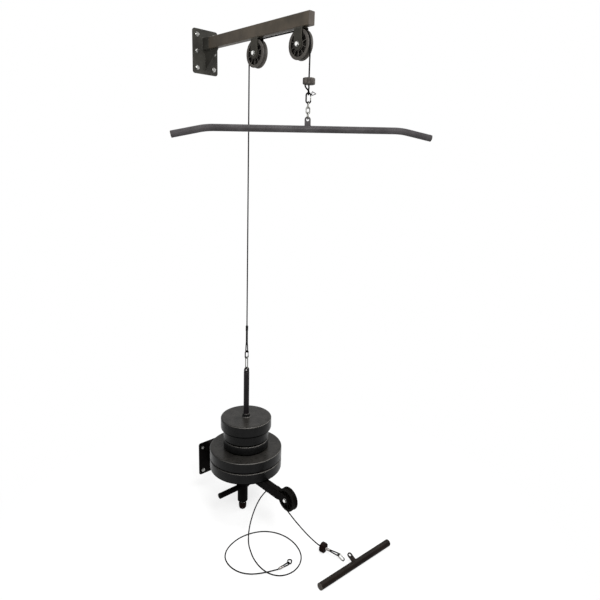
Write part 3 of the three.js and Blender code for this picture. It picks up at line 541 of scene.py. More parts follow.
# Zinc plating gone dull on hooks, gates and links: grey, with brighter rubbed spots.
DULL_ZINC = Finish(
    "dulled_zinc_plating", "zinc_steel", "4E4E4B", "84847F", "CECECA", 0.28,
    **BARE_METAL, grain_mm=1.2, relief=0.1, patch_mm=8.0, wear=0.4,
)
# Polished steel of the pulleys' axle heads: nearly white, a soft mirror.
POLISHED = Finish(
    "polished_steel_axle_head", "zinc_steel", "EDEDEA", "FAFAF8", "FFFFFF", 0.3,
    **BARE_METAL, grain_mm=1.0, relief=0.02, patch_mm=10.0, wear=0.1,
)
# Ground bearing steel: even, mirror-like rings.
BEARING_STEEL = Finish(
    "ground_bearing_steel", "bearing_steel", "9FA1A4", "B9BBBE", "D8DADC", 0.22,
    **BARE_METAL, grain_mm=1.0, relief=0.05, patch_mm=10.0, wear=0.2,
)
# Swaged aluminium of the crimped sleeves: dull silver, marked by the dies.
SWAGED = Finish(
    "swaged_aluminium_sleeve", "zinc_steel", "6F6A67", "9A9592", "D8D4D0", 0.34,
    metallic=1.0, specular=0.4, grain_mm=2.0, relief=0.1, patch_mm=9.0, wear=0.3, dust=0.0,
)
# Blued spring wire: dark steel with a thin shine.
SPRING_WIRE = Finish(
    "blued_spring_wire", "zinc_steel", "1E1D1C", "32302F", "8A8783", 0.35, metallic=0.6,
    specular=0.5, grain=Grain.TURNED, grain_mm=1.0, relief=0.05, patch_mm=8.0, wear=0.2, dust=0.0,
)
# Moulded glass-filled nylon of the upper pulleys: dark brown-black, set lighter than the low pulley's copy as painted
# light, dull sheen, with painted shade in its recesses.
NYLON = Finish(
    "moulded_black_nylon", "pulley_nylon", "393633", "494642", "7B766F", 0.42, specular=0.1,
    grain=Grain.MOULDED, grain_mm=1.6, relief=0.05, wear=0.45, dust=0.0, soil=1.0,
)
# The same nylon on the low pulley, set near black as painted shade, with painted shade in its recesses.
NYLON_PAINTED_DARKER = Finish(
    "moulded_black_nylon_oiled", "pulley_nylon", "050403", "0C0A08", "352E28", 0.36,
    specular=0.025, grain=Grain.MOULDED, grain_mm=1.6, relief=0.05, wear=0.3, dust=0.0, soil=1.0,
)
# Moulded polyethylene of end plugs: matt brown-grey.
PLUG = Finish(
    "moulded_polyethylene_plug", "cap_plastic", "35312D", "47423D", "6B655F", 0.6,
    specular=0.12, grain=Grain.MOULDED, grain_mm=1.4, relief=0.08, wear=0.2,
)
# Extruded PVC sheath over laid steel strands: black, the strands just telling through.
SHEATH = Finish(
    "pvc_sheath_on_laid_cable", "cable_sheath", "040404", "0B0A0A", "262423", 0.6,
    specular=0.04, grain=Grain.LAID, grain_mm=2.0, relief=0.25, patch_mm=40.0, wear=0.0, dust=0.0,
)
# Hard plastic shell of the weight plates: satin black, with faint painted upright sheen streaks, painted highlight
# lines along the front of its upper rims, painted shade under its rims, and lighter tops, partly dusty and partly
# painted light from above.
SHELL = Finish(
    "satin_plastic_weight_shell", "weight_shell", "060606", "0D0D0D", "76736F", 0.3,
    specular=0.11, grain=Grain.MOULDED, grain_mm=2.0, relief=0.03, wear=0.3, dust=0.09,
    streak_mm=16.0, rim=0.7,
)
# Cured rubber of stoppers, pad and foot: warm black, dead matt.
RUBBER = Finish(
    "cured_black_rubber", "stopper_rubber", "0D0605", "160C0A", "352825", 0.7,
    specular=0.025, grain=Grain.MOULDED, grain_mm=1.8, relief=0.15, wear=0.2, dust=0.03,
)
# The same rubber on the upper stopper, set grey as painted light, with painted upright highlight streaks.
RUBBER_PAINTED_LIGHTER = Finish(
    "buffed_grey_rubber", "stopper_rubber", "12100F", "4A4642", "6E6963", 0.55, specular=0.08,
    grain=Grain.MOULDED, grain_mm=1.8, patch_mm=14.0, wear=0.3, dust=0.0, streak_mm=7.0,
)


# Outlines


def turns(count: int) -> list[float]:
    """Even angles once round, in radians."""
    return [2 * math.pi * k / count for k in range(count)]


def circle(radius: float, count: int = 32, centre: Flat = (0.0, 0.0)) -> list[Flat]:
    """Points round a circle."""
    x, y = centre
    return [(x + radius * math.cos(t), y + radius * math.sin(t)) for t in turns(count)]


def arc(centre: Flat, radius: float, start: float, end: float, count: int) -> list[Flat]:
    """Points along an arc between two angles in degrees, both ends included."""
    angles = [math.radians(start + (end - start) * i / count) for i in range(count + 1)]
    return [(centre[0] + radius * math.cos(t), centre[1] + radius * math.sin(t)) for t in angles]


def oval(length: float, width: float, wire: float, count: int) -> tuple[list[Flat], list[Flat]]:
    """The upper and the lower bend of an oval ring, along the middle of its wire."""
    bend, straight = width / 2 - wire, (length - width) / 2
    return arc((0, straight), bend, 0, 180, count), arc((0, -straight), bend, 180, 360, count)


def bent(start: Vector, corner: Vector, end: Vector, steps: int) -> list[Flat]:
    """Points of a bend round a corner, both ends included.

    Args:
        start: Where it leaves the first straight.
        corner: Where the two straights would meet.
        end: Where it joins the second.
        steps: Steps along it.

    Returns:
        The points in order.
    """
    made = []
    for t in (k / steps for k in range(steps + 1)):
        spot = start * (1 - t) ** 2 + corner * (2 * t * (1 - t)) + end * t**2
        made.append((spot.x, spot.y))
    return made


def eased(points: Sequence[Flat], radius: float, steps: int = 3, closed: bool = True) -> list[Flat]:
    """An outline or profile with its corners rounded off.

    Args:
        points: The corners.
        radius: How far from a corner its rounding starts.
        steps: Steps in each rounding.
        closed: Whether the last point joins the first.

    Returns:
        The points of the rounded outline.
    """
    made: list[Flat] = []
    count, straight = len(points), 3.0
    for i, here in enumerate(points):
        p = Vector(here)
        before, after = Vector(points[i - 1]) - p, Vector(points[(i + 1) % count]) - p
        is_end = not closed and i in (0, count - 1)
        if is_end or min(before.length, after.length) < TINY or before.angle(after) > straight:
            made.append(tuple(here))
            continue
        reach = min(radius, before.length * 0.45, after.length * 0.45)
        made += bent(p + before.normalized() * reach, p, p + after.normalized() * reach, steps)
    return made


def rectangle(width: float, height: float, corner: float, centre: Flat = (0, 0)) -> list[Flat]:
    """A rectangle with round corners.

    Args:
        width: Its size across.
        height: Its size up.
        corner: Radius of its corners.
        centre: Its middle.

    Returns:
        The points in order.
    """
    w, h = width / 2 - corner, height / 2 - corner
    made: list[Flat] = []
    for x, y, start in ((w, -h, -90), (w, h, 0), (-w, h, 90), (-w, -h, 180)):
        made += arc((centre[0] + x, centre[1] + y), corner, start, start + 90, 6)
    return made


# Geometry trees


class Tree(Enum):
    """The geometry trees that repeat a shape."""

    ROW = "row_of_copies"
    GRID = "grid_of_copies"
    BEAD = "weld_bead_on_path"


def in_row(add: Add, given: Node) -> Node:
    """Copies one step after another, each turned about Z by one more turn.

    Args:
        add: Adds a node to the tree.
        given: The tree's inputs.

    Returns:
        The copies.
    """
    index = add("GeometryNodeInputIndex")
    inputs = {0: given.outputs["Step"], "Scale": index}
    shift = add("ShaderNodeVectorMath", inputs, operation="SCALE")
    inputs = {"Count": given.outputs["Count"], "Position": shift}
    points = add("GeometryNodePoints", inputs)
    inputs = {0: index, 1: given.outputs["Turn"]}
    angle = add("ShaderNodeMath", inputs, operation="MULTIPLY")
    turn = add("FunctionNodeEulerToRotation", {0: add("ShaderNodeCombineXYZ", {2: angle})})
    inputs = {"Points": points, "Instance": given, "Rotation": turn}
    return add("GeometryNodeInstanceOnPoints", inputs)


def in_grid(add: Add, given: Node) -> Node:
    """Copies on a flat grid about the origin, each turned about Z by chance.

    Args:
        add: Adds a node to the tree.
        given: The tree's inputs.

    Returns:
        The copies.
    """
    size = given.outputs
    inputs = {
        "Size X": size["Column pitch"], "Size Y": size["Row pitch"],
        "Vertices X": size["Columns"], "Vertices Y": size["Rows"],
    }
    grid = add("GeometryNodeMeshGrid", inputs)
    chance = add("FunctionNodeRandomValue", {2: 0.0, 3: math.pi, "Seed": 7}, data_type="FLOAT")
    euler = add("ShaderNodeCombineXYZ", {2: chance.outputs[1]})
    turn = add("FunctionNodeEulerToRotation", {0: euler})
    inputs = {"Points": grid, "Instance": given, "Rotation": turn}
    return add("GeometryNodeInstanceOnPoints", inputs)


def in_bead(add: Add, given: Node) -> Node:
    """Overlapping drops of weld along a path, of slightly uneven size.

    Args:
        add: Adds a node to the tree.
        given: The tree's inputs.

    Returns:
        The drops.
    """
    path = add("GeometryNodeMeshToCurve", {0: given})
    inputs = {"Curve": path, "Length": given.outputs["Pitch"]}
    steps = add("GeometryNodeResampleCurve", inputs, mode="LENGTH")
    inputs = {"Radius": given.outputs["Drop"], "Subdivisions": 2}
    drop = add("GeometryNodeMeshIcoSphere", inputs)
    chance = add("FunctionNodeRandomValue", {2: 0.85, 3: 1.15, "Seed": 3}, data_type="FLOAT")
    inputs = {"Points": steps, "Instance": drop, "Scale": chance.outputs[1]}
    return add("GeometryNodeInstanceOnPoints", inputs)


LAYOUTS = {
    Tree.ROW: (in_row, {"Count": "Int", "Step": "Vector", "Turn": "Float"}),
    Tree.GRID: (
        in_grid,
        {"Columns": "Int", "Rows": "Int", "Column pitch": "Float", "Row pitch": "Float"},
    ),
    Tree.BEAD: (in_bead, {"Pitch": "Float", "Drop": "Float"}),
}


def planted(kind: Tree) -> bpy.types.NodeTree:
    """A geometry tree with its named inputs, made once, ending in real faces of one material.

    Args:
        kind: Which tree it is.

    Returns:
        The tree.
    """
    tree = bpy.data.node_groups.get(kind.value)
    if tree:
        return tree
    tree = bpy.data.node_groups.new(kind.value, "GeometryNodeTree")
    layout, sizes = LAYOUTS[kind]
    for name, socket in {"Geometry": "Geometry", **sizes, "Cover": "Material"}.items():
        tree.interface.new_socket(name, in_out="INPUT", socket_type="NodeSocket" + socket)
    tree.interface.new_socket("Geometry", in_out="OUTPUT", socket_type="NodeSocketGeometry")
    add = partial(add_node, tree)
    given = add("NodeGroupInput")
    real = add("GeometryNodeRealizeInstances", {0: layout(add, given)})
    dressed = add("GeometryNodeSetMaterial", {0: real, "Material": given.outputs["Cover"]})
    add("NodeGroupOutput", {0: dressed})
    return tree


def repeated(
    base: bpy.types.Mesh, kind: Tree, values: dict[str, object], cover: Finish
) -> bpy.types.Mesh:
    """Run a geometry tree on a mesh.

    Args:
        base: The shape to repeat, or the path to follow.
        kind: Which tree runs.
        values: Its sizes, by name.
        cover: The finish that it sets.

    Returns:
        The plain mesh that comes out.
    """
    tree = planted(kind)
    holder = bpy.data.objects.new("repeating", base)
    bpy.context.scene.collection.objects.link(holder)
    modifier = holder.modifiers.new(tree.name, "NODES")
    modifier.node_group = tree
    given = {**values, "Cover": cover.material()}
    for item in tree.interface.items_tree:
        if item.in_out == "INPUT" and item.name in given:
            modifier[item.identifier] = given[item.name]
    bpy.context.view_layer.update()
    ready = holder.evaluated_get(bpy.context.evaluated_depsgraph_get())
    made = bpy.data.meshes.new_from_object(ready)
    bpy.data.objects.remove(holder)
    return made


# Forms


class Form:
    """The faces of one piece, gathered in millimetres in the piece's own frame."""

    def __init__(self) -> None:
        """Start with nothing."""
        self.mesh = bmesh.new()
        self.uv = self.mesh.loops.layers.uv.new("along")

    def _corners(self, spots: Iterable[Sequence[float]], at: Matrix = UPRIGHT) -> list:
        """New corners at spots of a frame."""
        return [self.mesh.verts.new(at @ Vector(spot)) for spot in spots]

    def _band(self, low: list, high: list, cover: int) -> None:
        """Join two rings of corners, either of which may be one point.

        Args:
            low: The first ring.
            high: The second ring.
            cover: Number of the finish.
        """
        count = max(len(low), len(high))
        for k in range(count if count > 1 else 0):
            n = (k + 1) % count
            a, b = low[k % len(low)], low[n % len(low)]
            c, d = high[n % len(high)], high[k % len(high)]
            self.mesh.faces.new(list(dict.fromkeys((a, b, c, d)))).material_index = cover

    def lathe(
        self, profile: Sequence[Flat], sides: int, at: Matrix = UPRIGHT, cover: int = 0,
        flutes: int = 0, depth: float = 0.0,
    ) -> "Form":
        """Turn a profile of radius and height about Z.

        Args:
            profile: From the axis to the axis, or a loop that ends where it starts.
            sides: Steps round the axis.
            at: Where the turned form goes.
            cover: Number of its finish.
            flutes: Number of hollows round it, 0 for none.
            depth: Depth of a hollow.

        Returns:
            The form itself.
        """
        shut = tuple(profile[0]) == tuple(profile[-1])
        rings = []
        for radius, height in profile[:-1] if shut else profile:
            spots = [(0.0, 0.0, height)]
            if radius >= TINY:
                waves = ((t, 0.5 - 0.5 * math.cos(t * flutes)) for t in turns(sides))
                round_at = [(t, radius - depth * wave) for t, wave in waves]
                spots = [(r * math.cos(t), r * math.sin(t), height) for t, r in round_at]
            rings.append(self._corners(spots, at))
        for low, high in zip(rings, rings[1:] + (rings[:1] if shut else [])):
            self._band(low, high, cover)
        return self

    def disc(
        self, radius: float, low: float, high: float, sides: int, at: Matrix = UPRIGHT,
        ease: float = 0.0, steps: int = 2, cover: int = 0,
    ) -> "Form":
        """A solid cylinder about Z.

        Args:
            radius: Its radius.
            low: Height of its underside.
            high: Height of its top.
            sides: Steps round the axis.
            at: Where it goes.
            ease: Size of the rounding of its rims, 0 for none.
            steps: Steps in that rounding.
            cover: Number of its finish.

        Returns:
            The form itself.
        """
        profile = [(0, low), (radius, low), (radius, high), (0, high)]
        if ease:
            profile = eased(profile, ease, steps, False)
        return self.lathe(profile, sides, at, cover)

    def ring(
        self, section: Sequence[Flat], ease: float, steps: int, sides: int,
        at: Matrix = UPRIGHT, cover: int = 0,
    ) -> "Form":
        """Turn a closed section about Z, its corners rounded.

        Args:
            section: Corners of the section, as radius and height.
            ease: Size of the rounding.
            steps: Steps in it.
            sides: Steps round the axis.
            at: Where it goes.
            cover: Number of its finish.

        Returns:
            The form itself.
        """
        smooth = eased(section, ease, steps) if ease else list(section)
        return self.lathe([*smooth, smooth[0]], sides, at, cover)

    def tube(
        self, points: Sequence[Point], radius: float, sides: int, shut: bool = False
    ) -> "Form":
        """Sweep a circle along points, with a map of the way round and the way along.

        Args:
            points: The path.
            radius: Radius of the tube.
            sides: Steps round the tube.
            shut: Whether the path closes on itself.

        Returns:
            The form itself.
        """
        path = [Vector(p) for p in points]
        count = len(path)
        rings, side, run, runs = [], None, 0.0, []
        for i, here in enumerate(path):
            before = path[i - 1] if i or shut else here
            after = path[(i + 1) % count] if i < count - 1 or shut else here
            ahead = (after - before).normalized()
            side = side or ahead.orthogonal().normalized()
            side = (side - ahead * side.dot(ahead)).normalized()
            over = ahead.cross(side)
            run += (here - path[i - 1]).length * MM if i else 0.0
            runs.append(run)
            ways = (side * math.cos(t) + over * math.sin(t) for t in turns(sides))
            spots = [here + way * radius for way in ways]
            rings.append(self._corners(spots))
        around = 2 * math.pi * radius * MM
        for i in range(count if shut else count - 1):
            low, high, offset = rings[i], rings[(i + 1) % count], 0
            end = runs[i + 1] if i < count - 1 else run + (path[0] - path[i]).length * MM
            if i == count - 1:
                offset = min(range(sides), key=lambda k: (high[k].co - low[0].co).length)
            for k in range(sides):
                m = (k + 1) % sides
                corners = [low[k], low[m], high[(m + offset) % sides], high[(k + offset) % sides]]
                marks = ((k, runs[i]), (k + 1, runs[i]), (k + 1, end), (k, end))
                for loop, (step, way) in zip(self.mesh.faces.new(corners).loops, marks):
                    loop[self.uv].uv = (step / sides * around, way)
        if not shut:
            self.mesh.faces.new(rings[0])
            self.mesh.faces.new(rings[-1])
        return self

    def sheet(
        self, outline: Sequence[Flat], thickness: float, bevel: float,
        holes: Sequence[Sequence[Flat]] = (), at: Matrix = UPRIGHT,
    ) -> "Form":
        """Raise an outline into a sheet with eased edges, centred on its plane.

        Args:
            outline: Its outer edge in the plane.
            thickness: Its thickness across the plane.
            bevel: Size of the eased edge.
            holes: Edges of the holes.
            at: Where the sheet goes.

        Returns:
            The form itself.
        """
        curve = bpy.data.curves.new("outline", "CURVE")
        curve.dimensions = "2D"
        curve.fill_mode = "BOTH"
        curve.extrude = thickness / 2 - bevel
        curve.bevel_depth = bevel
        curve.bevel_resolution = 1
        curve.offset = -bevel
        for loop in (outline, *holes):
            spline = curve.splines.new("POLY")
            spline.points.add(len(loop) - 1)
            for point, (x, y) in zip(spline.points, loop):
                point.co = (x, y, 0.0, 1.0)
            spline.use_cyclic_u = True
        holder = bpy.data.objects.new("outline", curve)
        made = bpy.data.meshes.new_from_object(holder)
        bpy.data.objects.remove(holder)
        return self.add(made, at)

    def hexagon(self, height: float, at: Matrix, radius: float = 9.2) -> "Form":
        """An M10 bolt head or nut with chamfered corners, standing on the plane.

        Args:
            height: Its height.
            at: Where it goes.
            radius: Radius to its corners.

        Returns:
            The form itself.
        """
        flat, chamfer, side = radius * math.cos(math.pi / 6), math.radians(28), 60
        crown = flat * 0.96
        rings: list[list] = [[], [], []]
        for turn in turns(36):
            reach = flat / math.cos(math.radians(math.degrees(turn) % side - side / 2))
            drop = (reach - crown) * math.tan(chamfer)
            for ring, (r, z) in zip(rings, ((reach, 0), (reach, height - drop), (crown, height))):
                ring += self._corners([(r * math.cos(turn), r * math.sin(turn), z)], at)
        self._band(rings[0], rings[1], 0)
        self._band(rings[1], rings[2], 0)
        self.mesh.faces.new(rings[0])
        self.mesh.faces.new(rings[2])
        return self

    def add(self, mesh: bpy.types.Mesh, at: Matrix = UPRIGHT, cover: int = 0) -> "Form":
        """Take in the faces of a mesh.

        Args:
            mesh: The mesh, which is used up.
            at: Where it goes.
            cover: Number of its finish.

        Returns:
            The form itself.
        """
        mesh.transform(at)
        for face in mesh.polygons:
            face.material_index = cover
        self.mesh.from_mesh(mesh)
        bpy.data.meshes.remove(mesh)
        return self

    def repeat(
        self, base: "Form", kind: Tree, values: dict[str, object], finish: Finish,
        at: Matrix = UPRIGHT, cover: int = 0,
    ) -> "Form":
        """Take in copies of another form, laid out by a geometry tree.

        Args:
            base: The form to repeat.
            kind: The tree that lays it out.
            values: The tree's sizes, by name.
            finish: The finish that the tree sets.
            at: Where the copies go.
            cover: Number of their finish.

        Returns:
            The form itself.
        """
        shape = bpy.data.meshes.new("repeated")
        base.mesh.to_mesh(shape)
        base.mesh.free()
        return self.add(repeated(shape, kind, values, finish), at, cover)

    def thread(
        self, root: float, crest: float, land: Flat, pitch: float, count: int, sides: int,
        at: Matrix, cover: int = 0,
    ) -> "Form":
        """The turns of a screw thread, as a row of ridges.

        Args:
            root: Radius at the root.
            crest: Radius at the crest.
            land: Where the crest of a ridge starts and ends.
            pitch: Distance from ridge to ridge.
            count: Number of ridges.
            sides: Steps round the axis.
            at: Where the first ridge starts.
            cover: Number of its finish.

        Returns:
            The form itself.
        """
        section = [(root, 0), (crest, land[0]), (crest, land[1]), (root, pitch)]
        ridge = Form().ring(section, 0, 0, sides)
        values = {"Count": count, "Step": (0.0, 0.0, pitch), "Turn": 0.0}
        return self.repeat(ridge, Tree.ROW, values, ZINC, at, cover)

    def weld(
        self, path: Sequence[Point], drop: float, finish: Finish, shut: bool = False,
        at: Matrix = UPRIGHT,
    ) -> "Form":
        """Lay a weld bead along points.

        Args:
            path: The seam.
            drop: Radius of one drop of weld.
            finish: The finish over the weld.
            shut: Whether the seam closes on itself.
            at: Where the bead goes.

        Returns:
            The form itself.
        """
        line = bpy.data.meshes.new("seam")
        last = len(path) - 1
        edges = [(i, i + 1) for i in range(last)] + ([(last, 0)] if shut else [])
        line.from_pydata([tuple(p) for p in path], edges, [])
        values = {"Pitch": drop * 0.9, "Drop": drop}
        return self.add(repeated(line, Tree.BEAD, values, finish), at)

    def close(
        self, name: str, finishes: Sequence[Finish], at: Matrix, sharp: float = 34.0
    ) -> bpy.types.Object:
        """Close the form and stand it in the scene as one object at the origin.

        Args:
            name: The object's name.
            finishes: Its finishes, by number.
            at: Where the form's own frame stands, in millimetres.
            sharp: The angle in degrees over which an edge stays sharp.

        Returns:
            The object.
        """
        bmesh.ops.remove_doubles(self.mesh, verts=self.mesh.verts, dist=0.005)
        bmesh.ops.recalc_face_normals(self.mesh, faces=self.mesh.faces)
        mesh = bpy.data.meshes.new(name)
        self.mesh.to_mesh(mesh)
        self.mesh.free()
        mesh.transform(Matrix.Scale(MM, 4) @ at)
        for finish in finishes:
            mesh.materials.append(finish.material())
        mesh.shade_smooth()
        mesh.set_sharp_from_angle(angle=math.radians(sharp))
        made = bpy.data.objects.new(name, mesh)
        bpy.context.scene.collection.objects.link(made)
        made.modifiers.new("even", "WEIGHTED_NORMAL").keep_sharp = True
        ready = made.evaluated_get(bpy.context.evaluated_depsgraph_get())
        plain = bpy.data.meshes.new_from_object(ready)
        made.modifiers.clear()
        made.data = plain
        bpy.data.meshes.remove(mesh)
        plain.name = name
        return made

    def piece(
        self, name: str, finishes: Sequence[Finish], at: Matrix, body: str, *nodes: str,
        sharp: float = 34.0,
    ) -> bpy.types.Object:
        """Close the form, let it stand for its nodes and ride on their body.

        Args:
            name: The object's name.
            finishes: Its finishes, by number, the first of them its slot's.
            at: Where the form's own frame stands, in millimetres.
            body: The body that carries it.
            *nodes: The nodes that it stands for.
            sharp: The angle in degrees over which an edge stays sharp.

        Returns:
            The object.
        """
        made = self.close(name, finishes, at, sharp)
        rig.slot(made, finishes[0].slot)
        if nodes:
            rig.replaces(made, *nodes)
        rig.ride(made, body)
        LOG.info("%s: %d faces on %s", name, len(made.data.polygons), body)
        return made


# Camera


@dataclass
class PhotoCamera:
    """The camera at the photograph's view.

    Attributes:
        eye: Its place, in millimetres.
        yaw: Its turn about +Z from looking along +Y, in degrees.
        pitch: How far it looks down, in degrees.
        roll: Its turn about its own axis, in degrees.
        sensor: Width of its sensor.
        lens: Focal length on that sensor.
    """

    eye: Point = (-1507.9, -2306.4, -511.8)
    yaw: float = -43.5
    pitch: float = 14.25
    roll: float = 1.95
    sensor: float = 36.0
    lens: float = 31.476

    def place(self) -> None:
        """Put the camera in the scene and look through it."""
        data = bpy.data.cameras.new("photo_camera")
        data.lens, data.sensor_width, data.sensor_fit = self.lens, self.sensor, "HORIZONTAL"
        data.clip_start, data.clip_end = 0.01, 100.0
        made = bpy.data.objects.new("photo_camera", data)
        turn = turned(self.yaw, "Z") @ turned(90 - self.pitch, "X") @ turned(self.roll, "Z")
        made.matrix_world = Matrix.Translation(Vector(self.eye) * MM) @ turn
        bpy.context.scene.collection.objects.link(made)
        bpy.context.scene.camera = made


# Cables


def spline(a: Vector, b: Vector, c: Vector, d: Vector, steps: int) -> list[Vector]:
    """A centripetal curve from b towards c.

    Args:
        a: The point before b.
        b: Where the stretch starts.
        c: Where it ends.
        d: The point after c.
        steps: Number of points to give, c itself left out.

    Returns:
        The points, from b on.
    """
    before, here, after = (max((q - p).length ** 0.5, 1e-4) for p, q in ((a, b), (b, c), (c, d)))
    first = ((b - a) / before - (c - a) / (before + here) + (c - b) / here) * here
    last = ((c - b) / here - (d - b) / (here + after) + (d - c) / after) * here
    return [
        b * (2 * t**3 - 3 * t**2 + 1) + first * (t**3 - 2 * t**2 + t)
        + c * (3 * t**2 - 2 * t**3) + last * (t**3 - t**2)
        for t in (k / steps for k in range(steps))
    ]


def through(points: Sequence[Point], step: float) -> list[Vector]:
    """A smooth curve through points, cut into even steps.

    Args:
        points: What the curve goes through.
        step: About how far apart the new points are.

    Returns:
        The new points, both ends included.
    """
    given = [Vector(p) for p in points]
    ends = [given[0] * 2 - given[1], *given, given[-1] * 2 - given[-2]]
    fine = [p for i in range(len(given) - 1) for p in spline(*ends[i : i + 4], 12)]
    fine.append(given[-1])
    run = [0.0]
    for p, q in zip(fine, fine[1:]):
        run.append(run[-1] + (q - p).length)
    count = max(round(run[-1] / step), 2)
    even, k = [], 0
    for way in (run[-1] * i / count for i in range(count + 1)):
        while k < len(run) - 2 and run[k + 1] < way:
            k += 1
        even.append(fine[k].lerp(fine[k + 1], (way - run[k]) / (run[k + 1] - run[k])))
    return even


@dataclass
class Cables:
    """The sheathed steel cables.

    Attributes:
        radius: Radius of the sheath.
        step: Distance between the points of a loose stretch.
        rear_axle: Out and height of the rear pulley's axle.
        front_axle: Out and height of the front pulley's axle.
        low_axle: Out and height of the low pulley's axle.
        pitch: Radius of the cable's middle on a pulley.
        rear_end: Lower end of the rear run.
        front_end: Lower end of the front run.
        loop_length: Real length of the loose loop, in metres.
        front_length: Real length of the stretch to the front stopper's eye, in metres.
        loop_route: Chosen points of the loose loop on the floor.
        front_route: Chosen points of the stretch to the front stopper.
        stopper_at: Middle of the front stopper.
        heading: Where the front stopper points.
        eye_at: Where the loop's cable eye starts.
        eye_heading: Where that eye points.
    """

    radius: float = 3.0
    step: float = 9.0
    rear_axle: Flat = (-399.5, -52.1)
    front_axle: Flat = (-672.5, -52.1)
    low_axle: Flat = (-679.6, -2068.0)
    pitch: float = 53.5
    rear_end: float = -1275.07
    front_end: float = -176.8
    loop_length: float = 1.728
    front_length: float = 0.355
    loop_route: tuple[Point, ...] = (
        (0, -626, -2055), (-1, -625.5, -2041), (-7, -621, -2029), (-20, -611, -2023),
        (-38, -598, -2030), (-58, -583, -2051), (-76, -570, -2080), (-91, -560, -2114),
        (-104, -551, -2156), (-114, -544, -2200), (-122, -540, -2242), (-130, -543, -2277),
        (-141, -556, -2299), (-156, -579, -2308), (-173, -614, -2310), (-190, -655, -2310),
        (-201, -700, -2310), (-204, -741, -2310), (-199, -778, -2310), (-186, -806, -2310),
        (-166, -828, -2310), (-133, -843, -2310), (-94, -845, -2310), (-50, -830, -2310),
        (-12, -798, -2310), (13, -751, -2310), (24, -695, -2310), (19, -638, -2310),
        (-3, -586, -2310), (-40, -545, -2310), (-92, -518, -2310), (-155, -507, -2310),
        (-214, -516, -2310), (-260, -538, -2310), (-290, -570, -2310), (-304, -610, -2310),
        (-304, -655, -2310), (-291, -697, -2309), (-264, -736, -2306), (-232, -762, -2303),
        (-202, -779, -2301.5), (-176, -789, -2302),
    )
    front_route: tuple[Point, ...] = (
        (6, -679, -2143), (24, -705, -2181), (46, -734, -2222),
        (66, -763, -2257), (80, -791, -2279), (86, -815, -2288),
    )
    stopper_at: Point = (92.0, -843.0, -2288.5)
    heading: Point = (0.22835, -0.97358, 0.0)
    eye_at: Point = (-150.0, -796.5, -2302.3)
    eye_heading: Point = (0.99756, -0.06976, 0.0)

    @property
    def rear_out(self) -> float:
        """Where the rear run hangs."""
        return self.rear_axle[0] + self.pitch

    @property
    def front_out(self) -> float:
        """Where the front run hangs."""
        return self.front_axle[0] - self.pitch

    def wrap(self, axle: Flat, start: float, end: float, count: int) -> list[Vector]:
        """Points of the cable on a pulley, between two angles in degrees from +Y."""
        return [Vector((0, y, z)) for y, z in arc(axle, self.pitch, start, end, count)]

    def loop(self) -> list[Vector]:
        """The loose loop, from the low pulley to its cable eye.

        Returns:
            Its points.
        """
        start = (0, self.low_axle[0] + self.pitch, self.low_axle[1] + SEAT)
        end = Vector(self.eye_at)
        lead = end - Vector(self.eye_heading) * self.radius * 3
        return [*through((start, *self.loop_route, lead), self.step), end]

    def front(self) -> list[Vector]:
        """The stretch from the low pulley to the front stopper, and on through its bore.

        Returns:
            Its points.
        """
        wrap = self.wrap(self.low_axle, 0, -45, 12)
        leaving = math.radians(-45)
        clear = wrap[-1] + Vector((0, math.sin(leaving), -math.cos(leaving))) * self.pitch / 2
        middle, heading, half = Vector(self.stopper_at), Vector(self.heading), Stopper.height / 2
        entry = middle - heading * (half + SEAT)
        lead = entry - heading * self.radius * 3
        route = through((clear, *self.front_route, lead), self.step)
        return [*wrap, *route, entry, middle + heading * half]

    def run(self, points: Sequence[Vector]) -> Form:
        """The sheath along points."""
        return Form().tube(points, self.radius, 14)

    def build_loose(self, loop_pieces: list, front_pieces: list) -> None:
        """Args:
            loop_pieces: What hangs on the loop's end.
            front_pieces: What hangs on the front stretch's end.
        """
        for node, points, length, ends in (
            ("low_cable_loop", self.loop(), self.loop_length, loop_pieces),
            ("low_cable_front", self.front(), self.front_length, front_pieces),
        ):
            made = self.run(points).piece(
                f"{node}_sheath", (SHEATH,), UPRIGHT, "frame", node, sharp=60
            )
            path = [tuple(p * MM) for p in points]
            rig.cord(
                made, exit=path[0], length=length, diameter=self.radius * 2 * MM,
                far_end="fitting", stiffness="medium", path=path, with_pieces=ends,
            )

    def build_held(self) -> None:
        """Draw the upper cable: over its two pulleys, and its two hanging runs."""
        over = self.wrap(self.rear_axle, 0, 90, 24) + self.wrap(self.front_axle, 90, 180, 24)
        self.run(over).piece(
            "upper_cable_sheath", (SHEATH,), UPRIGHT, "frame", "upper_cable_top", sharp=60
        )
        for name, out, low, body in (
            ("rear", self.rear_out, self.rear_end, "carriage"),
            ("front", self.front_out, self.front_end, "lat_end"),
        ):
            ends = [Vector((0, out, self.rear_axle[1] - SEAT)), Vector((0, out, low))]
            made = self.run(ends).close(f"{name}_hanging_sheath", (SHEATH,), UPRIGHT, 60)
            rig.slot(made, SHEATH.slot)
            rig.replaces(made, f"upper_cable_{name}")
            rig.blend(made, "frame", body, start=ends[0] * MM, end=ends[1] * MM)
            LOG.info("%s hangs to %s", made.name, body)


# Wall mounts and arms


BOLT_RADIUS = 5.0
WASHER_RADIUS = 10.5


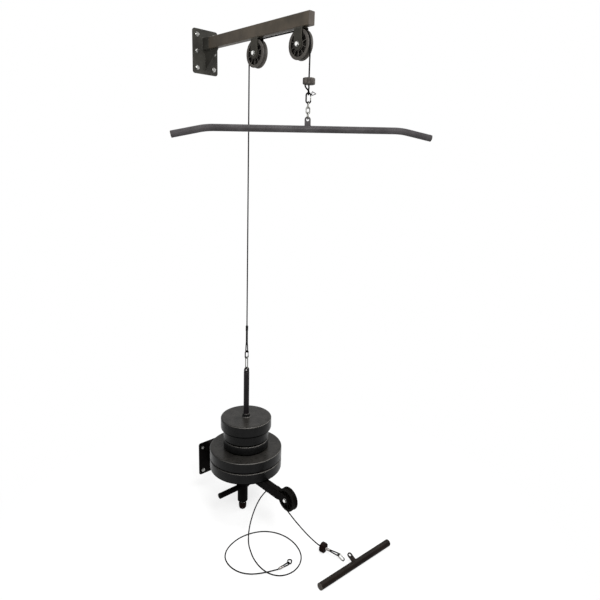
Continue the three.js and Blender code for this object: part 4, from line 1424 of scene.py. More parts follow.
@dataclass
class WallMount:
    """A wall plate with its socket, gusset and bolts.

    Attributes:
        name: Which mount it is.
        height_at: Height of the plate's middle.
        arm_rise: Height of the arm over that middle.
        rows: Number of rows of bolts.
        finish: Its coat.
        row_pitch: Distance from the first row to the last.
        gusset_tip: Depth of the gusset at its blunt tip.
        socket_inside: Width and height of the hole for the arm.
        socket_weld: Radius of a drop of weld round the socket.
        gusset_weld: Radius of a drop of weld along the gusset.
        bolt_depth: How far the bolts go in behind their washers.
        washer: Thickness of the washers.
        head: Height of the bolt heads.
    """

    name: str
    height_at: float
    arm_rise: float
    rows: int
    finish: Finish
    row_pitch: float = 144.0
    column_pitch: float = 92.0
    width: float = 138.0
    height: float = 196.0
    thickness: float = 6.0
    corner: float = 12.0
    bolt_hole: float = 5.6
    gusset_reach: float = 104.0
    gusset_drop: float = 92.0
    gusset_tip: float = 6.0
    gusset_sheet: float = 5.0
    socket_inside: Flat = (30.6, 50.6)
    socket_corner: float = 3.0
    socket_wall: float = 2.5
    socket_reach: float = 50.0
    socket_weld: float = 2.2
    gusset_weld: float = 1.7
    bolt_depth: float = 5.9
    washer: float = 2.0
    head: float = 4.2

    def build(self) -> None:
        """Make the plate and its bolts."""
        self.build_plate()
        self.build_bolts()

    def build_plate(self) -> None:
        """The plate with its welded socket and gusset."""
        form, t, rise = Form(), self.thickness, self.arm_rise
        rows = [self.row_pitch * (i / (self.rows - 1) - 0.5) for i in range(self.rows)]
        spots = [(side * self.column_pitch / 2, row) for side in (-1, 1) for row in rows]
        holes = [circle(self.bolt_hole, 24, spot) for spot in spots]
        plate = rectangle(self.width, self.height, self.corner)
        form.sheet(plate, t, 1.0, holes, standing(0, -t / 2, 0) @ FACING_OUT)
        w, h = (s / 2 + self.socket_wall for s in self.socket_inside)
        inside = rectangle(*self.socket_inside, self.socket_corner)
        outside = rectangle(2 * w, 2 * h, self.socket_corner + self.socket_wall)
        collar = standing(0, -t - self.socket_reach / 2, rise) @ FACING_OUT
        form.sheet(outside, self.socket_reach, 0.7, [inside], collar)
        around = [(x, -t, rise + z) for x, z in ((-w, -h), (w, -h), (w, h), (-w, h))]
        form.weld(around, self.socket_weld, self.finish, shut=True)
        seat = rise - self.socket_inside[1] / 2
        tip, foot, under = t + self.gusset_reach, seat - self.gusset_drop, seat - self.socket_wall
        web = [(t / 2, seat), (tip, seat), (tip, seat - self.gusset_tip), (t, foot), (t / 2, foot)]
        form.sheet(web, self.gusset_sheet, 0.6, (), SIDEWAYS)
        for x in (-self.gusset_sheet / 2, self.gusset_sheet / 2):
            inner = (x, -t, under)
            form.weld([(x, -t, foot + 1), inner], self.gusset_weld, self.finish)
            form.weld([inner, (x, -t - self.socket_reach, under)], self.gusset_weld, self.finish)
        form.piece(
            f"{self.name}_wall_plate_coated", (self.finish,), standing(0, 0, self.height_at),
            "frame", f"{self.name}_wall_plate",
        )

    def build_bolts(self) -> None:
        """The hexagon bolts on their washers, one tree for all."""
        bolt = Form().disc(BOLT_RADIUS, -self.bolt_depth, 1, 20)
        bolt.disc(WASHER_RADIUS, 0, self.washer, 32, ease=0.5)
        bolt.hexagon(self.head, standing(0, 0, self.washer))
        crown, top = 6.4, self.washer + self.head - 0.2
        button = [(0, top), (crown, top), (crown - 0.4, top + 0.5), (0, top + 0.5)]
        bolt.lathe(eased(button, 0.2, 1, False), 24)
        values = {
            "Columns": 2, "Rows": self.rows,
            "Column pitch": self.column_pitch, "Row pitch": self.row_pitch,
        }
        Form().repeat(bolt, Tree.GRID, values, ZINC).piece(
            f"{self.name}_wall_bolts", (ZINC,),
            standing(0, -self.thickness - SEAT, self.height_at) @ FACING_OUT, "frame",
            *(f"{self.name}_wall_bolt_{i + 1}" for i in range(2 * self.rows)),
        )


@dataclass
class Arm:
    """A rectangular tube that stands out from a wall plate.

    Attributes:
        name: Which arm it is.
        height_at: Height of its middle.
        end: How far out it ends.
        finish: Its coat.
        capped: Whether a plug closes its end.
        start: How far out it starts.
        flange: Thickness of the plug's flange.
        rib_depths: How far in the plug's ribs stand.
        rib: Thickness of a rib.
        core: Length of the plug's body.
        play: How much narrower than the tube's inside the ribs are.
    """

    name: str
    height_at: float
    end: float
    finish: Finish
    capped: bool
    start: float = 6.3
    width: float = 30.0
    height: float = 50.0
    corner: float = 3.0
    wall: float = 3.0
    flange: float = 3.0
    rib_depths: Point = (4.5, 9.5, 14.5)
    rib: float = 1.6
    core: float = 18.0
    play: float = 0.6

    def build(self) -> None:
        """Make the tube and its plug."""
        outer = rectangle(self.width, self.height, self.corner)
        w, h = self.width - 2 * self.wall, self.height - 2 * self.wall
        small = self.corner / 2
        out = standing(0, -(self.start + self.end) / 2, self.height_at) @ FACING_OUT
        Form().sheet(outer, self.end - self.start, 0.5, [rectangle(w, h, small)]).piece(
            f"{self.name}_arm_tube", (self.finish,), out, "frame", f"{self.name}_arm"
        )
        if not self.capped:
            return
        form = Form().sheet(outer, self.flange, 1.1)
        w, h = w - self.play, h - self.play
        for depth in self.rib_depths:
            form.sheet(rectangle(w, h, small), self.rib, 0.3, (), standing(0, 0, -depth))
        core = standing(0, 0, -self.core / 2 - self.play)
        form.sheet(rectangle(w - 3, h - 3, small), self.core, 0.3, (), core)
        seat = standing(0, -self.end - self.flange / 2 - SEAT, self.height_at) @ FACING_OUT
        form.piece(f"{self.name}_arm_end_plug", (PLUG,), seat, "frame", f"{self.name}_arm_cap")


# Pulleys


@dataclass
class PulleySet:
    """A clevis bracket with its axle bolt, ribbed wheel and bearing.

    Attributes:
        name: Which pulley it is.
        seat: The frame on which the bracket's back stands, its cheeks reaching down -Z.
        finish: The bracket's coat.
        moulding: The wheel's nylon.
        reach: From the bracket's back to the axle.
        inside: Distance between the cheeks.
        knee: How far down the strap's bends reach.
        washer: Thickness of the axle's washers.
        nut: Height of the nut.
        head: Height of the bolt head.
        hub: Inner and outer radius of the wheel's hub.
        rim: Inner radius of the wheel's rim.
        web: Half the thickness of the wheel's web.
        groove: Radius of the groove's floor.
        inner_ring: Radii of the bearing's inner ring.
        race: Radii of the bearing's outer ring.
    """

    name: str
    seat: Matrix
    finish: Finish
    moulding: Finish = NYLON
    reach: float = 60.8
    inside: float = 30.0
    sheet: float = 3.0
    width: float = 44.0
    knee: float = 6.0
    bore: float = 5.3
    washer: float = 1.6
    nut: float = 8.0
    head: float = 5.0
    wheel_radius: float = 57.0
    wheel_width: float = 26.0
    hub: Flat = (17.8, 24.0)
    rim: float = 45.0
    web: float = 4.0
    groove: float = 50.2
    ribs: int = 10
    inner_ring: Flat = (5.3, 8.0)
    race: Flat = (14.0, 17.5)

    def build(self) -> None:
        """Make the four pieces of the set."""
        self.build_bracket()
        axle_at = self.seat @ standing(0, 0, -self.reach) @ ALONG_X
        self.build_axle(axle_at)
        self.build_wheel(axle_at)
        self.build_bearing(axle_at)

    def build_bracket(self) -> None:
        """The folded strap with its two cheeks, welded along its back."""
        form, knee = Form(), self.knee
        inner, half = self.inside / 2, self.width / 2
        outer, bend = inner + self.sheet, knee - 1
        strap = [
            (-outer, -knee), *arc((-outer + bend, -bend), bend, 180, 90, 6),
            *arc((outer - bend, -bend), bend, 90, 0, 6), (outer, -knee), (inner, -knee),
            (inner, -self.sheet), (-inner, -self.sheet), (-inner, -knee),
        ]
        form.sheet(strap, self.width, 0.3, (), FACING_OUT)
        cheek = [(-half, -knee), *arc((0, -self.reach), half, 180, 360, 28), (half, -knee)]
        hole = circle(self.bore, 28, (0, -self.reach))
        for side in (-1, 1):
            place = standing(side * (inner + outer) / 2, 0, 0) @ SIDEWAYS
            form.sheet(cheek, self.sheet, 0.5, [hole], place)
            seam = [(side * outer * 0.8, end * (half - 2), -0.2) for end in (-1, 1)]
            form.weld(seam, 0.9, self.finish)
        form.piece(
            f"{self.name}_clevis", (self.finish,), self.seat, "frame",
            f"{self.name}_pulley_bracket",
        )

    def build_axle(self, at: Matrix) -> None:
        """The bolt with washers, nut and a threaded end.

        Args:
            at: The axle's frame, its Z along the axle.
        """
        face, root = self.inside / 2 + self.sheet + SEAT, 4.3
        end = face + self.washer + self.nut - 0.6
        form = Form().disc(BOLT_RADIUS, -face - 4, end, 28)
        for low in (-face - self.washer, face):
            form.disc(WASHER_RADIUS, low, low + self.washer, 36, ease=0.4)
        head_at = standing(0, 0, -face - self.washer) @ turned(180, "X")
        form.hexagon(self.head, head_at)
        dome = [(0, 0), (7.4, 0), (7.4, 0.4), (6.6, 1.0), (4.0, 1.4), (0, 1.5)]
        form.lathe([(r, self.head + z) for r, z in dome], 32, head_at, cover=1)
        form.hexagon(self.nut, standing(0, 0, face + self.washer))
        form.thread(root, BOLT_RADIUS, (0.45, 0.6), 1.05, 3, 28, standing(0, 0, end + 0.3))
        form.lathe([(0, end), (root, end), (root, end + 3.4), (0, end + 3.6)], 28)
        form.piece(f"{self.name}_axle", (ZINC, POLISHED), at, "frame", f"{self.name}_axle_bolt")

    def build_wheel(self, at: Matrix) -> None:
        """The moulded wheel: hub, rim with its groove, thin web and ribs laid by a tree.

        Args:
            at: The axle's frame.
        """
        half, radius, rim, web = self.wheel_width / 2, self.wheel_radius, self.rim, self.web
        bore, hub = self.hub
        side = [
            (bore, half), (hub, half), (hub, web), (rim, web), (rim, half), (radius, half),
            (radius, half - 3), (self.groove + 3.4, 4.9), (self.groove, 2.4),
        ]
        form = Form().ring(side + [(r, -h) for r, h in reversed(side)], 1.1, 3, 96)
        middle, length = (hub + rim) / 2, rim - hub + 1.5
        rib = Form().sheet(rectangle(length, 3.0, 0.6, (middle, 0)), 23.0, 0.7)
        values = {"Count": self.ribs, "Step": (0.0, 0.0, 0.0), "Turn": 2 * math.pi / self.ribs}
        form.repeat(rib, Tree.ROW, values, self.moulding)
        name = f"{self.name}_pulley"
        form.piece(f"{self.name}_wheel_moulding", (self.moulding,), at, name, f"{name}_wheel")

    def build_bearing(self, at: Matrix) -> None:
        """The ball bearing: two ground rings with a dark seal between them.

        Args:
            at: The axle's frame.
        """
        form = Form()
        long, short = self.inside / 2 - SEAT, self.wheel_width / 2
        seal = (self.inner_ring[1] - 0.1, self.race[0] + 0.1)
        for (low, high), half, ease, steps, sides, cover in (
            (self.inner_ring, long, 0.5, 2, 40, 0), (self.race, short, 0.5, 2, 48, 0),
            (seal, short - 0.8, 0.2, 1, 40, 1),
        ):
            section = [(low, -half), (high, -half), (high, half), (low, half)]
            form.ring(section, ease, steps, sides, cover=cover)
        name, finishes = f"{self.name}_pulley", (BEARING_STEEL, RUBBER)
        form.piece(f"{self.name}_ball_bearing", finishes, at, name, f"{name}_bearing")


# Weight stack


@dataclass
class WeightStack:
    """The loading rod with its base and the weight plates on it.

    Attributes:
        out: Where the rod stands, out from the wall.
        base_at: Height of the underside of the rod's base.
        plates: Radius and thickness of each plate, from the bottom up.
        flat: Height of the rod's drilled flat eye.
        base: Radius and thickness of the rod's base.
        collar: Radius and height of the collar on the top plate.
        hub: Radius of the raised ring round a plate's bore.
        dish: Depth of a plate's dished face.
        top_ease: Rounding of a plate's upper rim.
        under_ease: Rounding of its lower rim.
    """

    out: float
    base_at: float = -2044.4
    plates: tuple[Flat, ...] = ((185, 58.5), (185, 58.5), (115, 49), (115, 54), (129, 60))
    rod_radius: float = 14.0
    rod_length: float = 553.0
    flat: float = 27.0
    bore: float = 16.0
    base: Flat = (40.0, 3.0)
    collar: Flat = (20.0, 18.0)
    hub: float = 34.0
    dish: float = 0.8
    top_ease: float = 7.0
    under_ease: float = 11.0

    def build(self) -> None:
        """Make the rod, the pad and the plates."""
        self.build_rod()
        height = self.base_at + self.base[1]
        for number, (radius, thickness) in enumerate(self.plates, 1):
            height += SEAT
            self.build_plate(number, radius, thickness, height)
            height += thickness

    def build_plate(self, number: int, radius: float, thickness: float, height: float) -> None:
        """A moulded shell: round rim edges with a fine step, and a shallow dished face.

        Args:
            number: Its place from the bottom.
            radius: Its radius.
            thickness: Its thickness.
            height: Height of its underside.
        """
        rim = radius - min(radius * 0.17, 22.0)
        face = [
            (self.bore, 0.0), (self.hub, 0.0), (self.hub + 6, self.dish), (rim - 12, self.dish),
            (rim, 0.0), (radius, 0.0),
        ]
        loop = [(r, thickness - d) for r, d in face] + [(r, d) for r, d in reversed(face)]
        smooth: list[Flat] = []
        for i, point in enumerate(loop):
            wide, after = point[0] == radius, loop[(i + 1) % len(loop)]
            reach = (self.top_ease if point[1] else self.under_ease) if wide else 0.9
            smooth += eased([loop[i - 1], point, after], reach, 7 if wide else 2, False)[1:-1]
        form = Form().lathe([*smooth, smooth[0]], 144)
        if number == len(self.plates):
            low, (wide, top) = self.bore - 1.5, self.collar
            section = [
                (low, -2), (wide + 3, -2), (wide, 3), (17.5, top - 2), (16.5, top), (low, top)
            ]
            form.ring(section, 1.2, 3, 64, standing(0, 0, thickness))
        form.piece(
            f"weight_{number}_shell", (SHELL,), standing(0, self.out, height),
            f"weight_{number}", f"weight_plate_{number}", sharp=40,
        )

    def build_rod(self) -> None:
        """The turned rod with its base and drilled flat eye, and the rubber pad below it."""
        radius, length = self.rod_radius, self.rod_length
        (wide, base), flat, neck = self.base, length - self.flat, radius - 0.6
        profile = [
            (0, 0), (wide, 0), (wide, base), (radius, base), (radius, flat - 9),
            (neck, flat - 8.5), (neck, flat - 7), (radius, flat - 6.5),
            (radius, flat), (radius - 1.5, flat + 1.2), (0, flat + 1.2),
        ]
        form = Form().lathe(eased(profile, 1.0, 3, False), 56)
        eye = [(-radius, -self.flat), (radius, -self.flat), *arc((0, -radius), radius, 0, 180, 24)]
        face = standing(0, 0, length) @ FACING_OUT
        form.sheet(eye, 8.0, 0.8, [circle(6.5, 28, (0, -radius))], face)
        seat = standing(0, self.out, self.base_at)
        form.piece("loading_rod_turned", (ROD_COAT,), seat, "carriage", "loading_rod")
        pad = standing(0, self.out, self.base_at - 1.8)
        Form().sheet(rectangle(28, 60, 4), 3.0, 0.7).piece(
            "stack_pad_rubber", (RUBBER,), pad, "frame", "stack_pad"
        )


# Fittings


@dataclass
class Carabiner:
    """An oval snap ring with a sprung gate.

    Attributes:
        name: Its name.
        body: The body that carries the ring.
        gate_body: The body of the gate.
        at: Frame of the ring's middle, its plane XZ.
        finish: Finish of the ring.
        nodes: The ring's node and the gate's node.
        gate_top: How far above the middle the gate ends.
        gate_bottom: How far below the middle it ends.
    """

    name: str
    body: str
    gate_body: str
    at: Matrix
    finish: Finish
    nodes: tuple[str, str]
    length: float = 44.0
    width: float = 24.0
    wire: float = 3.0
    gate_radius: float = 2.3
    gate_top: float = 8.0
    gate_bottom: float = 9.0

    def build(self) -> list[bpy.types.Object]:
        """Make the ring and its gate.

        Returns:
            Both pieces.
        """
        bend, clear = self.width / 2 - self.wire, 0.4
        upper, lower = oval(self.length, self.width, self.wire, 20)
        flat = [(bend, self.gate_top + clear), *upper, *lower, (bend, -self.gate_bottom - clear)]
        ring = Form().tube([(x, 0, z) for x, z in flat], self.wire, 20).piece(
            f"{self.name}_ring", (self.finish,), self.at, self.body, self.nodes[0], sharp=50
        )
        r = self.gate_radius
        rise = self.gate_top + self.gate_bottom - 2 * r
        low, high = arc((0, 0), r, -90, 0, 6), arc((0, rise), r, 0, 90, 6)
        waist = [(r, 1.8), (r * 0.86, 2.2), (r * 0.86, 3.0), (r, 3.4), (r, rise - 4.4)]
        neck = [(r * 0.8, rise - 3.8), (r * 0.8, rise - 1.2), (r, rise - 0.6)]
        bar = [(0.0, -r), *low[1:], *waist, *neck, *high[:-1], (0.0, rise + r)]
        pivot = self.at @ standing(bend, 0, r - self.gate_bottom)
        gate = Form().lathe(bar, 24).piece(
            f"{self.name}_gate_bar", (DULL_ZINC,), pivot, self.gate_body, self.nodes[1], sharp=50
        )
        return [ring, gate]


@dataclass
class CableEye:
    """A loop of cable, with or without a crimped sleeve over its root.

    Attributes:
        name: Its name.
        body: The body that carries it.
        at: Frame of its top, the loop hanging down -Z in the plane YZ.
        length: From its top to the middle of the wire at the bottom of the loop.
        node: The node that it stands for.
        sleeve: Length of the sleeve, 0 for none.
        crimp: The sleeve's finish.
        bow: Radius of the loop's bend.
        bow_length: How far above the bend the legs draw together.
        leg_half: Half the distance between the legs under a sleeve.
        upright: How far the legs run straight down from a top without a sleeve.
    """

    name: str
    body: str
    at: Matrix
    length: float
    node: str
    sleeve: float = 0.0
    crimp: Finish = SWAGED
    radius: float = 3.0
    sleeve_radius: float = 6.4
    bow: float = 7.4
    bow_length: float = 40.0
    leg_half: float = 3.5
    upright: float = 2.0

    def build(self) -> bpy.types.Object:
        """Make the loop and its sleeve.

        Returns:
            The piece.
        """
        straight = self.length - self.bow
        down = self._legs(straight)
        flat = down + arc((0, -straight), self.bow, 180, 360, 20)
        flat += [(-y, z) for y, z in reversed(down)]
        form = Form().tube([self._fanned(y, z, straight) for y, z in flat], self.radius, 16)
        if self.sleeve:
            r, low, edge = self.sleeve_radius, -self.sleeve, 1.6
            marks = [(0, 0), (r - edge, 0), (r, -edge)]
            for z in (-5.0, -12.0, -19.0):
                marks += [(r, z), (r - 0.9, z - 0.9), (r - 0.9, z - 2.4), (r, z - 3.3)]
            form.lathe([*marks, (r, low + edge), (r - edge, low), (0, low)], 36, cover=1)
        finishes = (SHEATH, self.crimp)
        return form.piece(self.name, finishes, self.at, self.body, self.node, sharp=50)

    def _legs(self, straight: float) -> list[Flat]:
        """The way down one leg, from the top to the bend.

        Args:
            straight: Depth at which the bend starts.

        Returns:
            Points across and up.
        """
        if not self.sleeve:
            drop = (straight - self.upright) / 9
            return [(-self.bow, z) for z in (0, *(-self.upright - drop * k for k in range(9)))]
        top, legs, twist = self.sleeve / 2, self.leg_half, straight - self.bow_length
        down = [(-legs, -top)]
        if twist > top:
            down += [(-legs, -top - (twist - top) * 0.9), (-legs - 0.4, -twist)]
            down += [(-self.bow * 0.8, -twist - self.bow_length * 0.4)]
        return down

    def _fanned(self, y: float, z: float, straight: float) -> Point:
        """A point of the loop, turned a quarter by the top where the loop has no sleeve.

        Args:
            y: Its place across the loop.
            z: Its height.
            straight: Depth at which the bend starts.

        Returns:
            The turned point.
        """
        if self.sleeve:
            return (0.0, y, z)
        share = min(max(1 + (z + self.upright) / (straight - self.upright), 0.0), 1.0)
        share *= share * (3 - 2 * share)
        turn = share * math.pi / 2
        return (y * math.sin(turn) - self.bow * share, y * math.cos(turn), z)


@dataclass
class Stopper:
    """A moulded rubber stopper with grip hollows, threaded on a cable.

    Attributes:
        name: Its name.
        body: The body that carries it.
        at: Frame of its top, hanging down -Z.
        node: The node that it stands for.
        finish: Its rubber.
        mouth: Inner and outer radius of the worn mouth round the cable.
    """

    name: str
    body: str
    at: Matrix
    node: str
    finish: Finish = RUBBER
    radius: float = 24.5
    height: float = 24.5
    edge: float = 2.5
    mouth: Flat = (4.4, 5.4)
    hollows: int = 10
    hollow_depth: float = 1.6

    def build(self) -> bpy.types.Object:
        """Make the stopper.

        Returns:
            The piece.
        """
        r, h, e, (inner, outer), worn = self.radius, -self.height, self.edge, self.mouth, 0.8
        outline = [
            (0, 0), (inner, 0), (outer, -worn), (r - e, 0), (r, -e), (r, h + e), (r - e, h),
            (outer, h + worn), (inner, h), (0, h),
        ]
        smooth = eased(outline, 2.0, 3, False)
        form = Form().lathe(smooth, 120, flutes=self.hollows, depth=self.hollow_depth)
        return form.piece(self.name, (self.finish,), self.at, self.body, self.node, sharp=50)


def link_form(length: float, width: float, wire: float) -> Form:
    """A closed link in the plane YZ, centred."""
    upper, lower = oval(length, width, wire, 18)
    return Form().tube([(0, y, z) for y, z in upper + lower], wire, 16, shut=True)


def add_eye_tab(form: Form, rise: float, bar: float, finish: Finish) -> None:
    """Add a drilled tab that stands on a bar, with its weld.

    Args:
        form: The bar's form, the bar along X.
        rise: Height of the hole over the bar's middle.
        bar: Radius of the bar.
        finish: The finish over tab and weld.
    """
    half, hole, sheet = 12, 6.0, 6.0
    edge = [(-half, bar - 4), (half, bar - 4), *arc((0, rise), half, 0, 180, 24)]
    form.sheet(edge, sheet, 0.8, [circle(hole, 28, (0, rise))], FACING_OUT)
    y, z = sheet / 2, math.sqrt(bar**2 - sheet**2 / 4)
    ways = [(side, -side * half * (1 - i / 4)) for side in (1, -1) for i in range(9)]
    form.weld([(x, side * y, z) for side, x in ways], 1.3, finish, shut=True)


def add_end_plug(form: Form, radius: float, face: float, sides: int, at: Matrix) -> None:
    """Close a bar's end with a domed plug.

    Args:
        form: The bar's form.
        radius: Radius of the bar.
        face: Share of that radius at the plug's face.
        sides: Steps round the bar.
        at: Frame of the bar's end, its Z outwards.
    """
    outline = [(0, 0.0), (radius, 0.0), (radius, 1.6), (radius * face, 3.0), (0, 3.0)]
    form.lathe(eased(outline, 0.8, 3, False), sides, at, cover=1)


@dataclass
class RearHanger:
    """What joins the cable to the loading rod: eye, snap ring and link.

    Attributes:
        out: Where the cable hangs, out from the wall.
        eye_at: Height of the cable eye's top.
        ring_at: Height of the snap ring's middle.
        link_at: Height of the link's middle.
    """

    out: float
    eye_at: float = -1275.37
    ring_at: float = -1425.07
    link_at: float = -1470.77

    def build(self) -> None:
        """Make the three fittings."""
        CableEye(
            "rear_cable_eye_crimped", "carriage", standing(0, self.out, self.eye_at), 137.0,
            "rear_cable_eye", sleeve=26.0, crimp=SHEATH,
        ).build()
        Carabiner(
            "rear_snap", "carriage", "rear_hook_gate", standing(0, self.out, self.ring_at),
            BLACK_COAT, ("rear_carabiner", "rear_gate"),
        ).build()
        seat = standing(0, self.out, self.link_at)
        link_form(70, 21, 2.5).piece(
            "rear_link_bent", (DULL_ZINC,), seat, "carriage", "rear_link", sharp=50
        )


@dataclass
class LatHanger:
    """The lat bar on its stopper, cable eye, snap ring and chain.

    Attributes:
        out: Where the cable hangs, out from the wall.
        yaw: How far the bar is turned about +Z, in degrees.
        tilt: How far the bar hangs askew, in degrees.
        tab_rise: Height of the tab's hole over the bar's middle.
        straight: From the bar's middle to its knee.
        end_run: How far out the bent end reaches.
        end_drop: How far down it reaches.
        bend: Distance from the knee to where its rounding starts.
        plug: Length of an end plug.
    """

    out: float
    yaw: float = -31.0
    stopper_at: float = -177.1
    eye_at: float = -201.9
    ring_at: float = -250.6
    link_at: float = -296.3
    hole_at: float = -330.916
    tilt: float = -1.6
    tab_rise: float = 36.0
    bar_radius: float = 13.5
    straight: float = 396.0
    end_run: float = 135.0
    end_drop: float = 27.5
    bend: float = 30.0
    plug: float = 3.0

    def frame_at(self, height: float) -> Matrix:
        """The turned frame of the hanger at a height."""
        return standing(0, self.out, height) @ turned(self.yaw, "Z")

    def build(self) -> None:
        """Make all that hangs from the front run."""
        Stopper(
            "lat_stopper_moulded", "lat_end", standing(0, self.out, self.stopper_at),
            "lat_stopper", RUBBER_PAINTED_LIGHTER,
        ).build()
        CableEye(
            "lat_cable_bow", "lat_hanger", self.frame_at(self.eye_at), 36.0, "lat_cable_eye"
        ).build()
        Carabiner(
            "lat_snap", "lat_hanger", "lat_hook_gate", self.frame_at(self.ring_at),
            BLACK_COAT, ("lat_carabiner", "lat_gate"),
        ).build()
        self.build_thumb_wire()
        self.build_chain()
        self.build_bar()

    def build_thumb_wire(self) -> None:
        """The three-cornered wire beside the snap's shoulder, for the thumb."""
        corners = [(12.6, 15.0), (14.6, 10.4), (30.0, 17.0), (14.6, 24.6)]
        form = Form().tube([(x, 0, z) for x, z in eased(corners, 1.6, 3)], 1.6, 12, shut=True)
        form.tube([(10.8, 0, 13.0), (12.0, 0, 14.4), (13.0, 0, 15.4)], 1.7, 12)
        seat = self.frame_at(self.ring_at)
        form.piece("lat_snap_thumb_wire", (SPRING_WIRE,), seat, "lat_hanger", sharp=50)

    def build_chain(self) -> None:
        """Three short links, each turned a quarter from the last."""
        pitch = 20.0
        values = {"Count": 3, "Step": (0.0, 0.0, -pitch), "Turn": math.pi / 2}
        link, top = link_form(30, 19, 2.5), standing(0, 0, pitch)
        Form().repeat(link, Tree.ROW, values, DULL_ZINC, top).piece(
            "lat_chain", (DULL_ZINC,), self.frame_at(self.link_at), "lat_hanger", "lat_link",
            sharp=50,
        )

    def build_bar(self) -> None:
        """The bent tube with its end plugs and eye tab."""
        knee = Vector((self.straight, 0))
        tip = knee + Vector((self.end_run, -self.end_drop))
        along = (tip - knee).normalized()
        half = bent(knee - Vector((self.bend, 0)), knee, knee + along * self.bend, 12)
        end = tip - along * self.plug
        half.append((end.x, end.y))
        points = [(-x, 0, z) for x, z in reversed(half)] + [(x, 0, z) for x, z in half]
        form = Form().tube(points, self.bar_radius, 40)
        add_eye_tab(form, self.tab_rise, self.bar_radius, GREY_COAT)
        down = 90 + math.degrees(math.atan2(self.end_drop, self.end_run))
        for side in (-1, 1):
            seat = standing(side * end.x, 0, end.y) @ turned(side * down, "Y")
            add_end_plug(form, self.bar_radius, 0.7, 40, seat)
        hung = self.frame_at(self.hole_at) @ turned(self.tilt, "Y")
        seat = hung @ standing(0, 0, -self.tab_rise)
        form.piece("lat_bar_tube", (GREY_COAT, PLUG), seat, "lat_handle", "lat_bar")


@dataclass
class FloorEnds:
    """What lies on the floor at the ends of the low cable, and the short bar.

    Attributes:
        cables: The cables on whose ends it sits.
        hook: Frame of the front hook's middle.
        ring: Frame of the loop's snap ring.
        bar: Frame of the short bar's middle.
        bar_radius: Radius of the short bar.
        bar_length: Length of the bar with its plugs.
        plug: Length of an end plug.
    """

    cables: Cables
    hook: Matrix
    ring: Matrix
    bar: Matrix
    bar_radius: float = 16.5
    bar_length: float = 458.0
    plug: float = 3.0

    def build_loop_end(self) -> list[bpy.types.Object]:
        """The crimped eye and snap ring at the loop's end.

        Returns:
            The three pieces.
        """
        back, down = -Vector(self.cables.eye_heading), Vector((0, 0, -1))
        seat = axes(down.cross(back), down, back, Vector(self.cables.eye_at) - back * SEAT)
        eye = CableEye(
            "low_loop_eye_crimped", "frame", seat, 59.0, "low_cable_eye", sleeve=26.0
        ).build()
        ring = Carabiner(
            "low_loop_snap", "frame", "low_end_gate", self.ring, BLACK_COAT,
            ("low_carabiner", "low_gate"),
        ).build()
        return [eye, *ring]

    def build_front_end(self) -> list[bpy.types.Object]:
        """The stopper, crimped eye and hook at the front end.

        Returns:
            The four pieces.
        """
        back, up = -Vector(self.cables.heading), Vector((0, 0, 1))
        half = back * Stopper.height / 2
        entry, far_face = (Vector(self.cables.stopper_at) + way for way in (half, -half))
        at = axes(up, back.cross(up), back, entry)
        stopper = Stopper("low_stopper_moulded", "frame", at, "low_stopper").build()
        seat = axes(up, back.cross(up), back, far_face - back * SEAT)
        eye = CableEye(
            "low_front_eye_crimped", "frame", seat, 75.0, "low_front_eye", sleeve=26.0
        ).build()
        hook = Carabiner(
            "low_front_snap", "frame", "low_front_gate", self.hook, DULL_ZINC,
            ("low_hook", "low_hook_gate"),
        ).build()
        return [stopper, eye, *hook]

    def build_bar(self) -> None:
        """The short straight bar with its tab."""
        r, half = self.bar_radius, self.bar_length / 2 - self.plug
        form = Form().disc(r, -half, half, 48, ALONG_X, 0.6)
        for side in (-1, 1):
            seat = standing(side * half, 0, 0) @ turned(side * 90, "Y")
            add_end_plug(form, r, 0.72, 48, seat)
        add_eye_tab(form, 45.0, r, FLOOR_BAR_COAT)
        finishes = (FLOOR_BAR_COAT, PLUG)
        form.piece("short_bar_tube", finishes, self.bar, "floor_handle", "short_bar")


